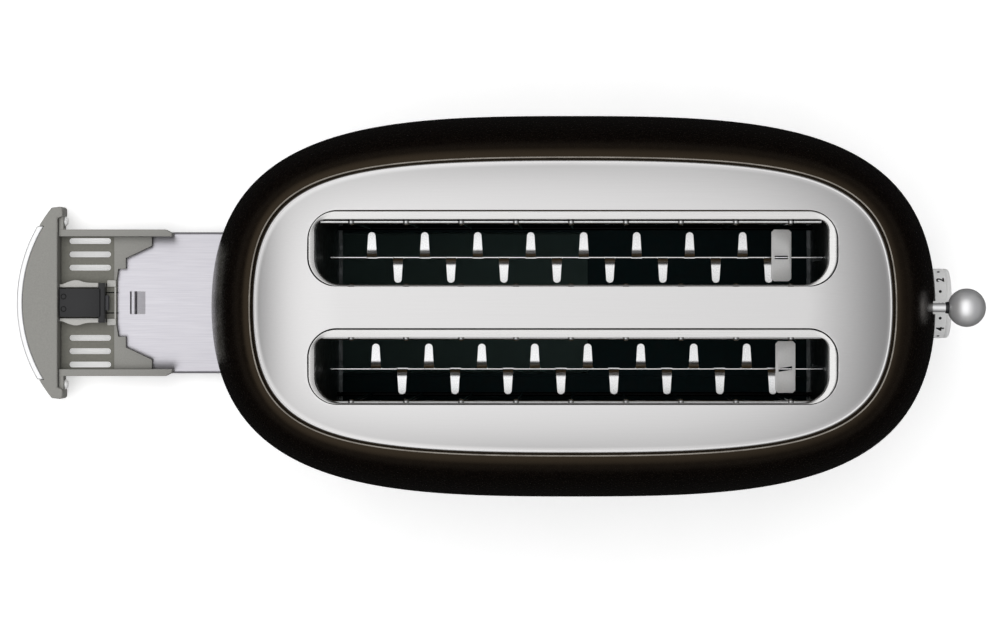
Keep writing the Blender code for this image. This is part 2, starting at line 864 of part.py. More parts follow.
def make_magnet():
    face = carriage_x + carriage_sheet + fit_gap
    keeper = box((face, -keeper_width / 2, keeper_bottom_z),
                 (keeper_front_x, keeper_width / 2, keeper_bottom_z + keeper_height))
    add_piece("magnet_keeper", keeper, sheet_steel())
    top = keeper_bottom_z - carriage_travel - magnet_air_gap
    magnet = box((magnet_rear_x, -magnet_width / 2, standing_z), (magnet_front_x, magnet_width / 2, top))
    add_piece("hold_magnet", magnet, black_plastic())


def make_lever():
    face = carriage_x + carriage_sheet + fit_gap
    ball_rear = ball_x - ball_diameter / 2
    tip = ball_rear + ball_socket_depth
    centre = (0, lever_y, lever_z)
    smooth(add_piece("lever_arm", rod(face, tip, centre, lever_diameter, "X"), bright_chrome()))
    globe = bmesh.new()
    bmesh.ops.create_uvsphere(globe, u_segments=round_sides, v_segments=ball_rings,
                              radius=ball_diameter / 2)
    bmesh.ops.translate(globe, verts=globe.verts, vec=(ball_x, lever_y, lever_z))
    ball = add_piece("lever_ball", globe, bright_chrome())
    cut(ball, rod(face, tip + fit_gap, centre, lever_diameter + 2 * fit_gap, "X"))
    smooth(ball)


def make_controls():
    low = (board_rear_x, -board_half_width, standing_z)
    high = (board_rear_x + board_sheet, board_half_width, board_top_z)
    board = add_piece("control_board", box(low, high), circuit_board())
    axis = (0, knob_y, knob_z)
    cut(board, rod(board_rear_x - cut_overrun, board_rear_x + board_sheet + cut_overrun, axis,
                   shaft_diameter + 2 * fit_gap, "X"))
    control_front = board_rear_x - fit_gap
    control = rod(control_front - control_depth, control_front, axis, control_diameter, "X")
    smooth(add_piece("browning_control", control, dark_plastic()))
    shaft = rod(board_rear_x, shaft_front_x, axis, shaft_diameter, "X")
    smooth(add_piece("browning_shaft", shaft, wire_steel(), origin=(board_rear_x, knob_y, knob_z)))


def make_browning_knob():
    radius = knob_diameter / 2
    shoulder = knob_front_x - knob_dome - knob_round
    profile = [(knob_rear_x, radius - knob_rear_edge), (knob_rear_x + knob_rear_edge, radius)]
    for step in range(knob_round_steps + 1):
        angle = math.pi / 2 * step / knob_round_steps
        profile.append((shoulder + knob_round * math.sin(angle),
                        radius - knob_round + knob_round * math.cos(angle)))
    for share in knob_dome_shares:
        profile.append((knob_front_x - knob_dome * share ** 2, radius * share))
    axis = (0, knob_y, knob_z)
    knob = add_piece("browning_knob", turned(profile, axis, "X", 2 * round_sides), bright_chrome(),
                     origin=(knob_rear_x, knob_y, knob_z))
    cut(knob, rod(knob_rear_x - cut_overrun, shaft_front_x + fit_gap, axis,
                  shaft_diameter + 2 * fit_gap, "X"))
    smooth(knob)


def make_buttons():
    radius = button_diameter / 2
    for name, y, level, front in button_places():
        profile = [(button_rear_x, radius), (front - button_edge, radius), (front, radius - button_edge)]
        button = turned(profile, (0, y, level), "X")
        smooth(add_piece(f"button_{name}", button, dark_plastic(), origin=(button_rear_x, y, level)))


def fascia_outline(wall, reach):
    """The curved front of the tray as far as a half width, drawn in from its faces by a wall.

    The outer outline has a lobe at each end that reaches back beside the screws.
    """
    radius = fascia_radius - trim_sheet - fit_gap - wall
    points = arc_band(radius, reach, fascia_apex_x + fascia_radius, fascia_steps)
    back = fascia_back_x - wall
    if wall:
        return points + [(back, tray_y + reach), (back, tray_y - reach)]
    lobe = back + fascia_lobe_depth
    inner = reach - fascia_lobe_length
    points += [(lobe, tray_y + reach), (lobe, tray_y + inner), (back, tray_y + inner)]
    return points + [(back, tray_y - inner), (lobe, tray_y - inner), (lobe, tray_y - reach)]


def make_tray_fascia():
    fascia = add_piece("tray_fascia", prism(fascia_outline(0, fascia_half_width),
                                             fascia_bottom_z, fascia_top_z), grey_plastic())
    cut(fascia, prism(fascia_outline(fascia_wall, fascia_pocket_half_width),
                      fascia_bottom_z - cut_overrun, fascia_top_z - fascia_wall))
    cut(fascia, *screw_holes(fascia_back_x - fascia_wall - cut_overrun, fascia_back_x + cut_overrun))
    centre_x = fascia_apex_x + fascia_radius
    outer = arc_band(fascia_radius, trim_half_width, centre_x, fascia_steps)
    inner = arc_band(fascia_radius - trim_sheet, trim_half_width, centre_x, fascia_steps)
    band = prism(outer + inner[::-1], fascia_bottom_z + trim_margin_z, fascia_top_z - trim_margin_z)
    smooth(add_piece("tray_trim", band, bright_chrome()))


def screw_holes(low_x, high_x):
    return [rod(low_x, high_x, (0, tray_y + side * screw_y, screw_z), screw_shank_diameter + 2 * fit_gap,
                "X") for side in (-1, 1)]


def carrier_step_line():
    """Corners of the carrier's stepped front edge, from its outer side to its middle."""
    outer, step, inner, lip, throat = [carrier_half_width * share for share in carrier_step_width_shares]
    return [(carrier_outer_step_x, outer), (carrier_outer_step_x, step), (carrier_inner_step_x, inner),
            (carrier_inner_step_x, lip), (carrier_lip_x, lip), (carrier_throat_x, throat)]


def make_tray_carrier():
    rear = fascia_back_x + fit_gap
    steps = carrier_step_line()
    half = [(rear, carrier_half_width), (carrier_rail_front_x, carrier_half_width),
            (carrier_rail_front_x, carrier_half_width - carrier_rail)]
    half += steps
    outline = [(x, tray_y + y) for x, y in half] + [(x, tray_y - y) for x, y in reversed(half)]
    floor_top = carrier_bottom_z + carrier_floor
    carrier = add_piece("tray_carrier", prism(outline, carrier_bottom_z, floor_top), grey_plastic())
    inside_z = carrier_bottom_z + carrier_floor / 2
    latch_gap_x = latch_front_x - latch_flange - fit_gap
    zone = [(carrier_raised_x, carrier_half_width - carrier_rail), *steps,
            (carrier_raised_x, steps[-1][1])]
    raised = []
    rear_pieces = []
    vents = []
    for side in (-1, 1):
        rail = sorted(tray_y + side * (carrier_half_width - inset) for inset in (0, carrier_rail))
        raised.append(box((rear, rail[0], inside_z), (carrier_rail_front_x, rail[1], carrier_rail_top_z)))
        rib_start = latch_half_width + 2 * slide_gap
        rib = sorted((tray_y + side * rib_start, tray_y + side * (rib_start + latch_rib_wall)))
        raised.append(box((rear, rib[0], inside_z), (latch_gap_x, rib[1], latch_rib_top_z)))
        ear_start = carrier_half_width - carrier_rail / 2
        ear = sorted(tray_y + side * reach for reach in (ear_start, ear_half_width))
        ear_top_z = carrier_rail_top_z - fit_gap
        rear_pieces.append(box((rear, ear[0], inside_z), (rear + ear_sheet, ear[1], ear_top_z)))
        rear_pieces.append(prism([(x, tray_y + side * y) for x, y in zone], inside_z, carrier_raised_z))
        for share in vent_y_shares:
            middle = tray_y + side * carrier_half_width * share
            outline = rounded_box((vent_rear_x, middle - vent_width / 2),
                                  (vent_front_x, middle + vent_width / 2), vent_end_radius)
            vents.append(prism(outline, carrier_bottom_z - cut_overrun, floor_top + cut_overrun))
    join(carrier, *raised)
    join(carrier, *rear_pieces)
    cut(carrier, *vents, *screw_holes(rear - cut_overrun, rear + ear_sheet + cut_overrun))


def make_tray_sheet():
    top = sheet_bottom_z + sheet_thickness
    sheet = box((sheet_rear_x, tray_y - sheet_half_width, sheet_bottom_z),
                (sheet_rear_x + sheet_length, tray_y + sheet_half_width, top))
    tray = add_piece("tray_sheet", sheet, sheet_steel())
    cut(tray, box((sheet_hole_rear_x, tray_y - sheet_hole_half_width, sheet_bottom_z - cut_overrun),
                  (sheet_hole_rear_x + sheet_hole_length, tray_y + sheet_hole_half_width,
                   top + cut_overrun)))


def make_tray_latch():
    foot = carrier_bottom_z + carrier_floor + fit_gap
    flange_x = latch_front_x - latch_flange
    body = box((latch_rear_x, tray_y - latch_half_width, foot),
               (flange_x + latch_flange / 2, tray_y + latch_half_width, latch_top_z))
    latch = add_piece("latch_body", body, black_plastic())
    join(latch, box((flange_x, tray_y - latch_flange_half_width, foot),
                    (latch_front_x, tray_y + latch_flange_half_width, carrier_rail_top_z)))
    tongue_rear = tongue_tip_x - tongue_length
    cut(latch, box((tongue_rear - tongue_travel - fit_gap, tray_y - tongue_half_width - fit_gap,
                    tongue_bottom_z - fit_gap),
                   (latch_front_x + cut_overrun, tray_y + tongue_half_width + fit_gap,
                    tongue_top_z + fit_gap)))
    tongue = box((tongue_rear, tray_y - tongue_half_width, tongue_bottom_z),
                 (tongue_tip_x, tray_y + tongue_half_width, tongue_top_z))
    add_piece("latch_tongue", tongue, black_plastic(), origin=(tongue_tip_x, tray_y, tongue_bottom_z))


def make_tray_screws():
    seat = fascia_back_x + fit_gap + ear_sheet + fit_gap
    head = screw_head_diameter / 2
    shank = screw_shank_diameter / 2
    profile = [(seat - screw_shank_length, shank), (seat, shank), (seat, head),
               (seat + screw_head_height * 2 / 3, head), (seat + screw_head_height, head / 2)]
    for side, sign in (("north", 1), ("south", -1)):
        centre = (0, tray_y + sign * screw_y, screw_z)
        smooth(add_piece(f"tray_screw_{side}", turned(profile, centre, "X"), wire_steel()))


def make_tray_catch():
    rear = tongue_tip_x + tray_drawn + catch_gap
    top = frame_bottom_z - fit_gap
    outline = [(rear, catch_bottom_z), (rear + catch_sheet, catch_bottom_z), (rear + catch_sheet, top),
               (rear - catch_flange_reach, top), (rear - catch_flange_reach, top - catch_sheet),
               (rear, top - catch_sheet)]
    catch = prism(outline, tray_y - catch_half_width, tray_y + catch_half_width, "Y")
    add_piece("tray_catch", catch, sheet_steel())


def make_toaster():
    clear_scene()
    origin = bpy.data.objects.new("toaster_origin", None)
    origin.location = (toaster_shift_x, 0, 0)
    bpy.context.scene.collection.objects.link(origin)
    make_body_shell()
    make_top_plate()
    make_slot_liners()
    make_base_ring()
    make_base_cover()
    make_feet()
    make_cord_bush()
    make_chassis_frame()
    make_bulkheads()
    make_side_panels()
    make_heaters()
    make_guards()
    make_lifter_rails()
    make_bread_stops()
    make_carriage()
    make_guide_rods()
    make_lift_springs()
    make_magnet()
    make_lever()
    make_controls()
    make_browning_knob()
    make_buttons()
    make_tray_fascia()
    make_tray_carrier()
    make_tray_sheet()
    make_tray_latch()
    make_tray_screws()
    make_tray_catch()


make_toaster()
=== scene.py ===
import math

import bmesh
import bpy
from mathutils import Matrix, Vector


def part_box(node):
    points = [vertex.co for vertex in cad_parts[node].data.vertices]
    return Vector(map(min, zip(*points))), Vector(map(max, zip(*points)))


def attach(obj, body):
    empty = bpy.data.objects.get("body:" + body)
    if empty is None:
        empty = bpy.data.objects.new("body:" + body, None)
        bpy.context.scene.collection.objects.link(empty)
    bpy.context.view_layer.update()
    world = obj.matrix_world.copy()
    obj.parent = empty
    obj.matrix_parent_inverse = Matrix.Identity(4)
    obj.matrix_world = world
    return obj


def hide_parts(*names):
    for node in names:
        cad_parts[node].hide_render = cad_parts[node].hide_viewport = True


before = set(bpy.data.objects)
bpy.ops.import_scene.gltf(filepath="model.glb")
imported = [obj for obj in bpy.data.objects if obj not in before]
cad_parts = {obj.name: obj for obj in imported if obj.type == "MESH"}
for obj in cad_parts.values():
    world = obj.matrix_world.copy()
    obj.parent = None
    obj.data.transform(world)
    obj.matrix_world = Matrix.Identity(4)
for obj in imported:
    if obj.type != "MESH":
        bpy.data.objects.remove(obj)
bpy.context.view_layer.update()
print("stage: the packed toaster is loaded")

# The body's middle lies off the origin, because the tray is drawn out at one end only.
shellLow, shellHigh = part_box("body_shell")
middleX = (shellLow.x + shellHigh.x) / 2
fasciaLow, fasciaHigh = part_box("tray_fascia")
trayY = (fasciaLow.y + fasciaHigh.y) / 2
buttonNames = [f"button_{name}" for name in ("stop", "reheat", "defrost", "bagel")]
screwNames = ["tray_screw_north", "tray_screw_south"]
sideNames, endNames = ("north", "south"), ("rear", "front")
planeNames = ("north", "middle", "south")
clear = 0.003  # how far a cutting shape reaches past what it cuts
fineSteps = 48  # points in each quarter of an oval outline
roundSides = 64  # sides of a turned piece

cameraValues = {
    "height": 1.773, "offMiddleX": 0.0089, "offMiddleY": 0.0034,
    "lens": 109.7, "sensor": 36, "shiftX": -0.090, "shiftY": -0.0145, "farEnd": 20,
}


def addObject(name, data):
    thing = bpy.data.objects.new(name, data)
    bpy.context.scene.collection.objects.link(thing)
    return thing


def setAll(thing, **settings):
    for name, value in settings.items():
        setattr(thing, name, value)


def makeCamera():
    v = cameraValues
    lensData = bpy.data.cameras.new("topCamera")
    setAll(lensData, lens=v["lens"], sensor_width=v["sensor"], shift_x=v["shiftX"],
           shift_y=v["shiftY"], clip_end=v["farEnd"])
    camera = addObject("topCamera", lensData)
    camera.location = (middleX + v["offMiddleX"], v["offMiddleY"], v["height"])
    bpy.context.scene.camera = camera


makeCamera()
print("stage: camera is set")


def linearChannel(value):
    return value / 12.92 if value <= 0.04045 else ((value + 0.055) / 1.055) ** 2.4


def hexColour(code):
    return [linearChannel(int(code[i:i + 2], 16) / 255) for i in (0, 2, 4)] + [1.0]


def addNode(tree, kind, settings=None, inputs=None):
    # Adds one node, sets its properties, then fills its inputs with values or links.
    node = tree.nodes.new(kind)
    setAll(node, **(settings or {}))
    for key, value in (inputs or {}).items():
        socket = node.inputs[key]
        if isinstance(value, bpy.types.NodeSocket):
            tree.links.new(value, socket)
        else:
            socket.default_value = value
    return node


def middleOf(name):
    return sum(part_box(name), Vector()) / 2


def axisOf(name):
    # The line along X through a part's middle.
    middle = middleOf(name)
    return 0, middle.y, middle.z


def mix(first, second, share):
    return first + (second - first) * share


def quarterTurn(steps, first=0):
    # Sine and cosine at even steps of a right angle.
    angles = [math.pi / 2 * step / steps for step in range(first, steps + 1)]
    return [(math.sin(angle), math.cos(angle)) for angle in angles]


def mirrored(points, middleY):
    return [(x, 2 * middleY - y) for x, y in points]


def finishMesh(mesh, smooth=True, sharpDegrees=32):
    if smooth:
        mesh.polygons.foreach_set("use_smooth", [True] * len(mesh.polygons))
        mesh.set_sharp_from_angle(angle=math.radians(sharpDegrees))
    mesh.update()


def settle(piece, body, replaced=()):
    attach(piece, body)
    if replaced:
        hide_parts(*replaced)


def addPiece(name, shape, material, body, replaced=(), smooth=True, sharpDegrees=32):
    # A finished piece: faces turned out, at the origin, riding on its body.
    mesh = bpy.data.meshes.new(name)
    bmesh.ops.remove_doubles(shape, verts=shape.verts, dist=1e-6)
    bmesh.ops.recalc_face_normals(shape, faces=shape.faces)
    shape.to_mesh(mesh)
    shape.free()
    mesh.materials.append(material)
    finishMesh(mesh, smooth, sharpDegrees)
    piece = addObject(name, mesh)
    settle(piece, body, replaced)
    return piece


def evaluatedMesh(thing):
    bpy.context.view_layer.update()
    seen = thing.evaluated_get(bpy.context.evaluated_depsgraph_get())
    return bpy.data.meshes.new_from_object(seen)


def bakeModifiers(piece):
    # Turns the evaluated shape into the piece's own plain mesh.
    old, baked = piece.data, evaluatedMesh(piece)
    piece.modifiers.clear()
    piece.data = baked
    bpy.data.meshes.remove(old)


def shapeOf(thing):
    # Takes a scratch object's evaluated shape and removes the object.
    mesh = evaluatedMesh(thing)
    shape = bmesh.new()
    shape.from_mesh(mesh)
    bpy.data.meshes.remove(mesh)
    bpy.data.objects.remove(thing, do_unlink=True)
    return shape


def modified(piece, kind, **settings):
    # Runs one modifier and keeps its result.
    setAll(piece.modifiers.new("shape", kind), **settings)
    bakeModifiers(piece)


def oval(halfLong, halfWide, level, shares, steps=fineSteps):
    # A ring about the body's middle whose quarter is one cubic curve.
    quarter = []
    for step in range(steps + 1):
        t = step / steps
        s = 1 - t
        along = s ** 3 + 3 * s * s * t + 3 * s * t * t * shares[0]
        across = 3 * s * s * t * shares[1] + 3 * s * t * t + t ** 3
        quarter.append((halfLong * along, halfWide * across))
    upper = quarter + [(-x, y) for x, y in reversed(quarter[:-1])]
    return [(middleX + x, y, level) for x, y in upper + [(-x, -y) for x, y in upper[1:-1]]]


def roundedBox(low, high, radius, level=0.0, steps=12, radiusHigh=None):
    # A flat ring with round corners; the corners on the low and high Y sides may differ.
    far = radius if radiusHigh is None else radiusHigh
    centres = [(high[0] - far, high[1] - far, far, 0), (low[0] + far, high[1] - far, far, 1),
               (low[0] + radius, low[1] + radius, radius, 2),
               (high[0] - radius, low[1] + radius, radius, 3)]
    ring = []
    for x, y, r, quarter in centres:
        for step in range(steps + 1):
            angle = (quarter + step / steps) * math.pi / 2
            ring.append((x + r * math.cos(angle), y + r * math.sin(angle), level))
    return ring


def lofted(rings, capFirst=True, capLast=True, closeLoop=False):
    # Skins rings one after another; a ring of one point is a pole.
    shape = bmesh.new()
    rows = [[shape.verts.new(point) for point in ring] for ring in rings]
    count = max(len(row) for row in rows)
    pairs = list(zip(rows, rows[1:])) + ([(rows[-1], rows[0])] if closeLoop else [])
    for lower, upper in pairs:
        for i in range(count):
            j = (i + 1) % count
            corners = [lower[i % len(lower)], lower[j % len(lower)],
                       upper[j % len(upper)], upper[i % len(upper)]]
            corners = list(dict.fromkeys(corners))
            if len(corners) > 2:
                shape.faces.new(corners)
    for row, wanted in ((rows[0][::-1], capFirst), (rows[-1], capLast)):
        if wanted and not closeLoop and len(row) > 2:
            shape.faces.new(row)
    return shape


def stripOf(rows):
    # An open sheet skinned over rows of points.
    shape = bmesh.new()
    rows = [[shape.verts.new(point) for point in row] for row in rows]
    for a, b in zip(rows, rows[1:]):
        for i in range(len(a) - 1):
            shape.faces.new((a[i], b[i], b[i + 1], a[i + 1]))
    return shape


def turned(profile, centre, along="X", sides=roundSides, closeLoop=False):
    # Turns (place, radius) points round an axis; a radius of zero closes to a pole.
    rings = []
    for place, radius in profile:
        ring = []
        for side in range(sides if radius > 1e-7 else 1):
            angle = 2 * math.pi * side / sides
            a, b = radius * math.cos(angle), radius * math.sin(angle)
            ring.append(Vector(centre) + Vector((place, a, b) if along == "X" else (a, b, place)))
        rings.append(ring)
    return lofted(rings, closeLoop=closeLoop)


def soften(shape, bevel, bevelSegments=2):
    # Rounds the sharp edges.
    bmesh.ops.recalc_face_normals(shape, faces=shape.faces)
    edges = [e for e in shape.edges if e.is_manifold and e.calc_face_angle(0) > math.radians(30)]
    bmesh.ops.bevel(shape, geom=edges, offset=bevel, segments=bevelSegments,
                    affect="EDGES", profile=0.6, clamp_overlap=True)


def slab(outline, low, high, bevel=0.0, bevelSegments=2):
    # A flat outline given a thickness; its edges may be softened.
    shape = lofted([[(x, y, low) for x, y in outline], [(x, y, high) for x, y in outline]])
    if bevel:
        soften(shape, bevel, bevelSegments)
    return shape


def block(low, high, bevel=0.0, bevelSegments=2):
    outline = [(low[0], low[1]), (high[0], low[1]), (high[0], high[1]), (low[0], high[1])]
    return slab(outline, low[2], high[2], bevel, bevelSegments)


def upright(outline, south, north):
    # A shape with the same (x, z) outline from its south to its north side.
    return lofted([[(x, y, z) for x, z in outline] for y in (south, north)])


def together(*shapes):
    # Gathers several shapes into one.
    whole = bmesh.new()
    for shape in shapes:
        part = bpy.data.meshes.new("part")
        bmesh.ops.recalc_face_normals(shape, faces=shape.faces)
        shape.to_mesh(part)
        shape.free()
        whole.from_mesh(part)
        bpy.data.meshes.remove(part)
    return whole


def cutOut(piece, *shapes, sharpDegrees=32):
    # Cuts holes in a piece with the exact solver and keeps the result as plain mesh.
    cutters = []
    for shape in shapes:
        mesh = bpy.data.meshes.new("cutter")
        bmesh.ops.recalc_face_normals(shape, faces=shape.faces)
        shape.to_mesh(mesh)
        shape.free()
        cutters.append(addObject("cutter", mesh))
        setAll(piece.modifiers.new("cut", "BOOLEAN"), operation="DIFFERENCE", solver="EXACT",
               object=cutters[-1])
    bakeModifiers(piece)
    for cutter in cutters:
        bpy.data.objects.remove(cutter, do_unlink=True)
    finishMesh(piece.data, sharpDegrees=sharpDegrees)


def objectCoordinates(tree, scale=(1, 1, 1)):
    place = addNode(tree, "ShaderNodeTexCoord")
    mapping = addNode(tree, "ShaderNodeMapping", {}, {
        "Vector": place.outputs["Object"], "Scale": scale})
    return mapping.outputs["Vector"]


def ranged(tree, value, **limits):
    # A number brought from one range to another.
    inputs = {"Value": value}
    inputs.update({key.replace("_", " "): limit for key, limit in limits.items()})
    return addNode(tree, "ShaderNodeMapRange", {}, inputs).outputs["Result"]


def mathOf(tree, operation, *values):
    return addNode(tree, "ShaderNodeMath", {"operation": operation},
                   dict(enumerate(values))).outputs[0]


def colourSteps(tree, factor, stops):
    # A colour ramp between sRGB hex colours.
    ramp = addNode(tree, "ShaderNodeValToRGB", {}, {"Fac": factor})
    elements = ramp.color_ramp.elements
    while len(elements) < len(stops):
        elements.new(0.5)
    for element, (place, code) in zip(elements, stops):
        element.position = place
        element.color = hexColour(code)
    return ramp.outputs["Color"]


def newMaterial(name, **shaderInputs):
    # A material whose Principled surface has its constant numbers on its own sockets.
    material = bpy.data.materials.new(name)
    material.use_nodes = True
    shader = material.node_tree.nodes["Principled BSDF"]
    for key, value in shaderInputs.items():
        shader.inputs[key.replace("_", " ")].default_value = value
    return material, material.node_tree, shader


def varied(name, stops, roughness, noiseScale, detail, bump, stretch=(1, 1, 1), **shaderInputs):
    # A finish whose colour, roughness and fine bump come from one noise pattern. Its scale is
    # in waves per metre, and the bump's height in metres.
    material, tree, shader = newMaterial(name, **shaderInputs)
    noise = addNode(tree, "ShaderNodeTexNoise", {}, {
        "Vector": objectCoordinates(tree, stretch), "Scale": noiseScale, "Detail": detail,
        "Roughness": 0.6})
    tree.links.new(colourSteps(tree, noise.outputs["Fac"], stops), shader.inputs["Base Color"])
    rough = ranged(tree, noise.outputs["Fac"], From_Min=0.3, From_Max=0.7,
                   To_Min=roughness[0], To_Max=roughness[1])
    tree.links.new(rough, shader.inputs["Roughness"])
    relief = addNode(tree, "ShaderNodeBump", {}, {
        "Height": noise.outputs["Fac"], "Distance": bump, "Strength": 0.35})
    tree.links.new(relief.outputs["Normal"], shader.inputs["Normal"])
    return material


def twoTones(low, high, first=0.3, last=0.7):
    return [(first, low), (last, high)]


def paintOver(material, factor, code):
    # Another colour over a finish, where the factor rises to one.
    tree = material.node_tree
    base = tree.nodes["Principled BSDF"].inputs["Base Color"]
    clean = base.links[0].from_socket
    blend = addNode(tree, "ShaderNodeMix", {"data_type": "RGBA"}, {
        "Factor": factor, 6: clean, 7: hexColour(code)})
    tree.links.new(blend.outputs[2], base)


def placeAlong(material, axis):
    tree = material.node_tree
    parts = addNode(tree, "ShaderNodeSeparateXYZ", {}, {"Vector": objectCoordinates(tree)})
    return parts.outputs[axis]


def brushedSheet(name, low, high, roughness):
    # Stainless sheet brushed along X: the scratches are about 0.25 mm apart and tens of
    # millimetres long, so highlights stretch across them. Drawn at 0.5 mm to show.
    material = varied(name, twoTones(low, high, 0.25, 0.75), roughness, 2000, 3, 0.000003,
                      (0.012, 1, 1), Metallic=1.0, Anisotropic=0.55)
    tree = material.node_tree
    tangent = addNode(tree, "ShaderNodeTangent", {"direction_type": "RADIAL", "axis": "Y"})
    tree.links.new(tangent.outputs["Tangent"], tree.nodes["Principled BSDF"].inputs["Tangent"])
    return material


def galvanised():
    # Zinc-coated chassis sheet: dull grey with spangles about 4 mm across.
    material, tree, shader = newMaterial("galvanised sheet", Metallic=1.0)
    cells = addNode(tree, "ShaderNodeTexVoronoi", {}, {
        "Vector": objectCoordinates(tree), "Scale": 260})
    colour = colourSteps(tree, cells.outputs["Color"], twoTones("6E7274", "8F9496", 0.2, 0.8))
    tree.links.new(colour, shader.inputs["Base Color"])
    rough = ranged(tree, cells.outputs["Distance"], To_Min=0.32, To_Max=0.5)
    tree.links.new(rough, shader.inputs["Roughness"])
    return material


def traySheetSteel():
    # Tinned tray sheet: pale satin with rolling lines 0.7 mm apart, clean at the end that is drawn
    # out, and dull and dark teal grey where it lies inside the toaster: the dark tone is painted
    # shade.
    material = varied("tinned tray sheet", twoTones("CFCDD4", "DEDCE2", 0.25, 0.75), (0.30, 0.42),
                      1500, 3, 0.00002, (0.03, 1, 1), Metallic=1.0)
    tree = material.node_tree
    blotch = addNode(tree, "ShaderNodeTexNoise", {}, {
        "Vector": objectCoordinates(tree), "Scale": 45, "Detail": 4})
    # Painted shade: the sheet turns dark teal grey over 30 mm, towards the end inside the toaster.
    wander = mathOf(tree, "MULTIPLY_ADD", blotch.outputs["Fac"], 0.03, placeAlong(material, "X"))
    insideShade = ranged(tree, wander, From_Min=middleX - 0.175, From_Max=middleX - 0.145)
    paintOver(material, insideShade, "748C8A")
    tree.links.new(ranged(tree, insideShade, To_Min=0.36, To_Max=0.75),
                   tree.nodes["Principled BSDF"].inputs["Roughness"])
    return material


def heatScaledWire():
    # Guard wire: bright at the top rod, and painted dark further down: painted shade inside the
    # slot.
    material = varied("guard wire with painted slot shade", twoTones("D6D7D8", "F0F0F0"), (0.16, 0.26), 900, 2,
                      0.000006, Metallic=1.0)
    # Painted shade: the wire goes dark below the slot's mouth.
    slotShadeFactor = ranged(material.node_tree, placeAlong(material, "Z"), From_Min=0.182, From_Max=0.150)
    paintOver(material, slotShadeFactor, "1C1E1F")
    return material


def boardLaminate():
    # Glass-epoxy circuit board with green solder resist over a faint weave.
    material, tree, shader = newMaterial("green circuit laminate", Coat_Weight=0.3, Roughness=0.4)
    weave = addNode(tree, "ShaderNodeTexChecker", {}, {
        "Vector": objectCoordinates(tree), "Scale": 700,
        "Color1": hexColour("1C4A2E"), "Color2": hexColour("235638")})
    tree.links.new(weave.outputs["Color"], shader.inputs["Base Color"])
    return material


def moulded(name, low, high, roughness, grain=1300, depth=0.00003, level=0.5):
    # Moulded plastic or rubber: an even colour with the fine spark grain of the mould.
    return varied(name, twoTones(low, high), roughness, grain, 3, depth, Specular_IOR_Level=level)


# Enamelled sheet steel, nearly black with a brown cast: a deep soft gloss whose faint orange
# peel (waves about 3 mm long) breaks up the reflections.
enamel = varied("dark enamel on steel", twoTones("080504", "0C0806", 0.35, 0.65), (0.24, 0.30),
                330, 2, 0.000006, Specular_IOR_Level=0.42, Specular_Tint=hexColour("E8CDAA"))
# A warm grey half gloss for the shell's rolled edge: a painted highlight.
edgeHighlight = varied("painted highlight on the enamel edge", twoTones("7A746C", "9A948B"), (0.25, 0.4), 120, 3, 0.00001)
plateSteel = brushedSheet("brushed stainless plate", "DEDDDD", "E2E1E1", (0.28, 0.31))
linerSteel = brushedSheet("brushed stainless liner", "DCDBDA", "E9E8E7", (0.26, 0.30))
# Pale silver lacquer on the dial, stops and screws: soft white, no sharp reflections.
silverLacquer = varied("pale silver lacquer", twoTones("F8F8F8", "FEFEFD"), (0.36, 0.42), 900, 2,
                       0.000006, Metallic=0.12)
# Metallised moulding under a milky clear lacquer: a wide soft glow, no sharp images.
metallised = varied("lacquered metallised trim", twoTones("F2F2F4", "FBFBFB"), (0.31, 0.35), 120, 2,
                    0.000004, Metallic=0.72)
zincSheet = galvanised()
traySteel = traySheetSteel()
# Zinc-plated wire and strip: silvery, slightly dull, with drawn lines.
wireSteel = varied("plated steel wire", twoTones("DCDDDE", "F2F2F2"), (0.14, 0.24), 1400, 2,
                   0.000006, Metallic=1.0)
slotShadedWire = heatScaledWire()
# Heater mica: tan-brown flakes, half gloss, with a layered shimmer.
mica = varied("pressed mica board", [(0.25, "6B5A44"), (0.5, "8A7658"), (0.75, "A69372")],
              (0.35, 0.6), 140, 5, 0.00006, (1, 0.2, 2.2), Specular_IOR_Level=0.6)
# Heater ribbon that has glowed: dull brownish grey scale.
ribbon = varied("oxidised heater ribbon", twoTones("4A4340", "6E6662"), (0.4, 0.6), 500, 3, 0.00001,
                Metallic=0.9)
greyAbs = moulded("grey moulded ABS", "8B8A86", "95948F", (0.42, 0.55))
# Grey ABS with a coarser grain, darker for the carrier's floor: the darker tone is painted shade of
# its recess.
shadedFloorAbs = moulded("coarse-grained grey ABS with painted shade", "6E6D66", "7A7971", (0.6, 0.75), 700, 0.00008)
paleAbs = moulded("pale grey moulded ABS", "B4B3AF", "BFBEBA", (0.42, 0.55))
blackAbs = moulded("black moulded ABS", "101012", "1A1A1D", (0.32, 0.45))
charcoalNylon = moulded("charcoal moulded nylon", "333336", "424246", (0.45, 0.6))
# Base cover sheet: matte, nearly black with a green cast: painted shade of the toaster's inside.
shadedCoverSheet = moulded("cover sheet with painted shade", "0A1F22", "0E282B", (0.5, 0.65), 200, 0.00002, 0.2)
# Moulded black rubber: matte, with dusty paler specks.
rubber = moulded("matte black rubber", "0E0E0E", "1D1C1B", (0.75, 0.9), 800, 0.00005, 0.3)
laminate = boardLaminate()
# Pad-printed black ink: flat and dense.
ink = moulded("pad-printed black ink", "121212", "1A1A1A", (0.5, 0.6), 1500, 0.000005, 0.3)
print("stage: materials are made")

shellValues = {
    "footInset": 0.009, "waistZ": 0.095, "rimHalfLong": 0.1686, "rimHalfWide": 0.078,
    "shoulderPower": 2.1, "wall": 0.001, "rollRadius": 0.0007, "grooveDepth": 0.0065,
    "ledge": 0.007, "footShares": (0.60, 0.80), "waistShares": (0.52, 0.98),
    "rimShares": (0.78, 0.89), "lowerRings": 14, "upperRings": 40, "leverSlotHalf": 0.0035,
    "leverTravel": 0.072, "slotRoom": 0.002, "boardGap": 0.0003, "shaftHole": 0.0042,
    "buttonHole": 0.0053,
}


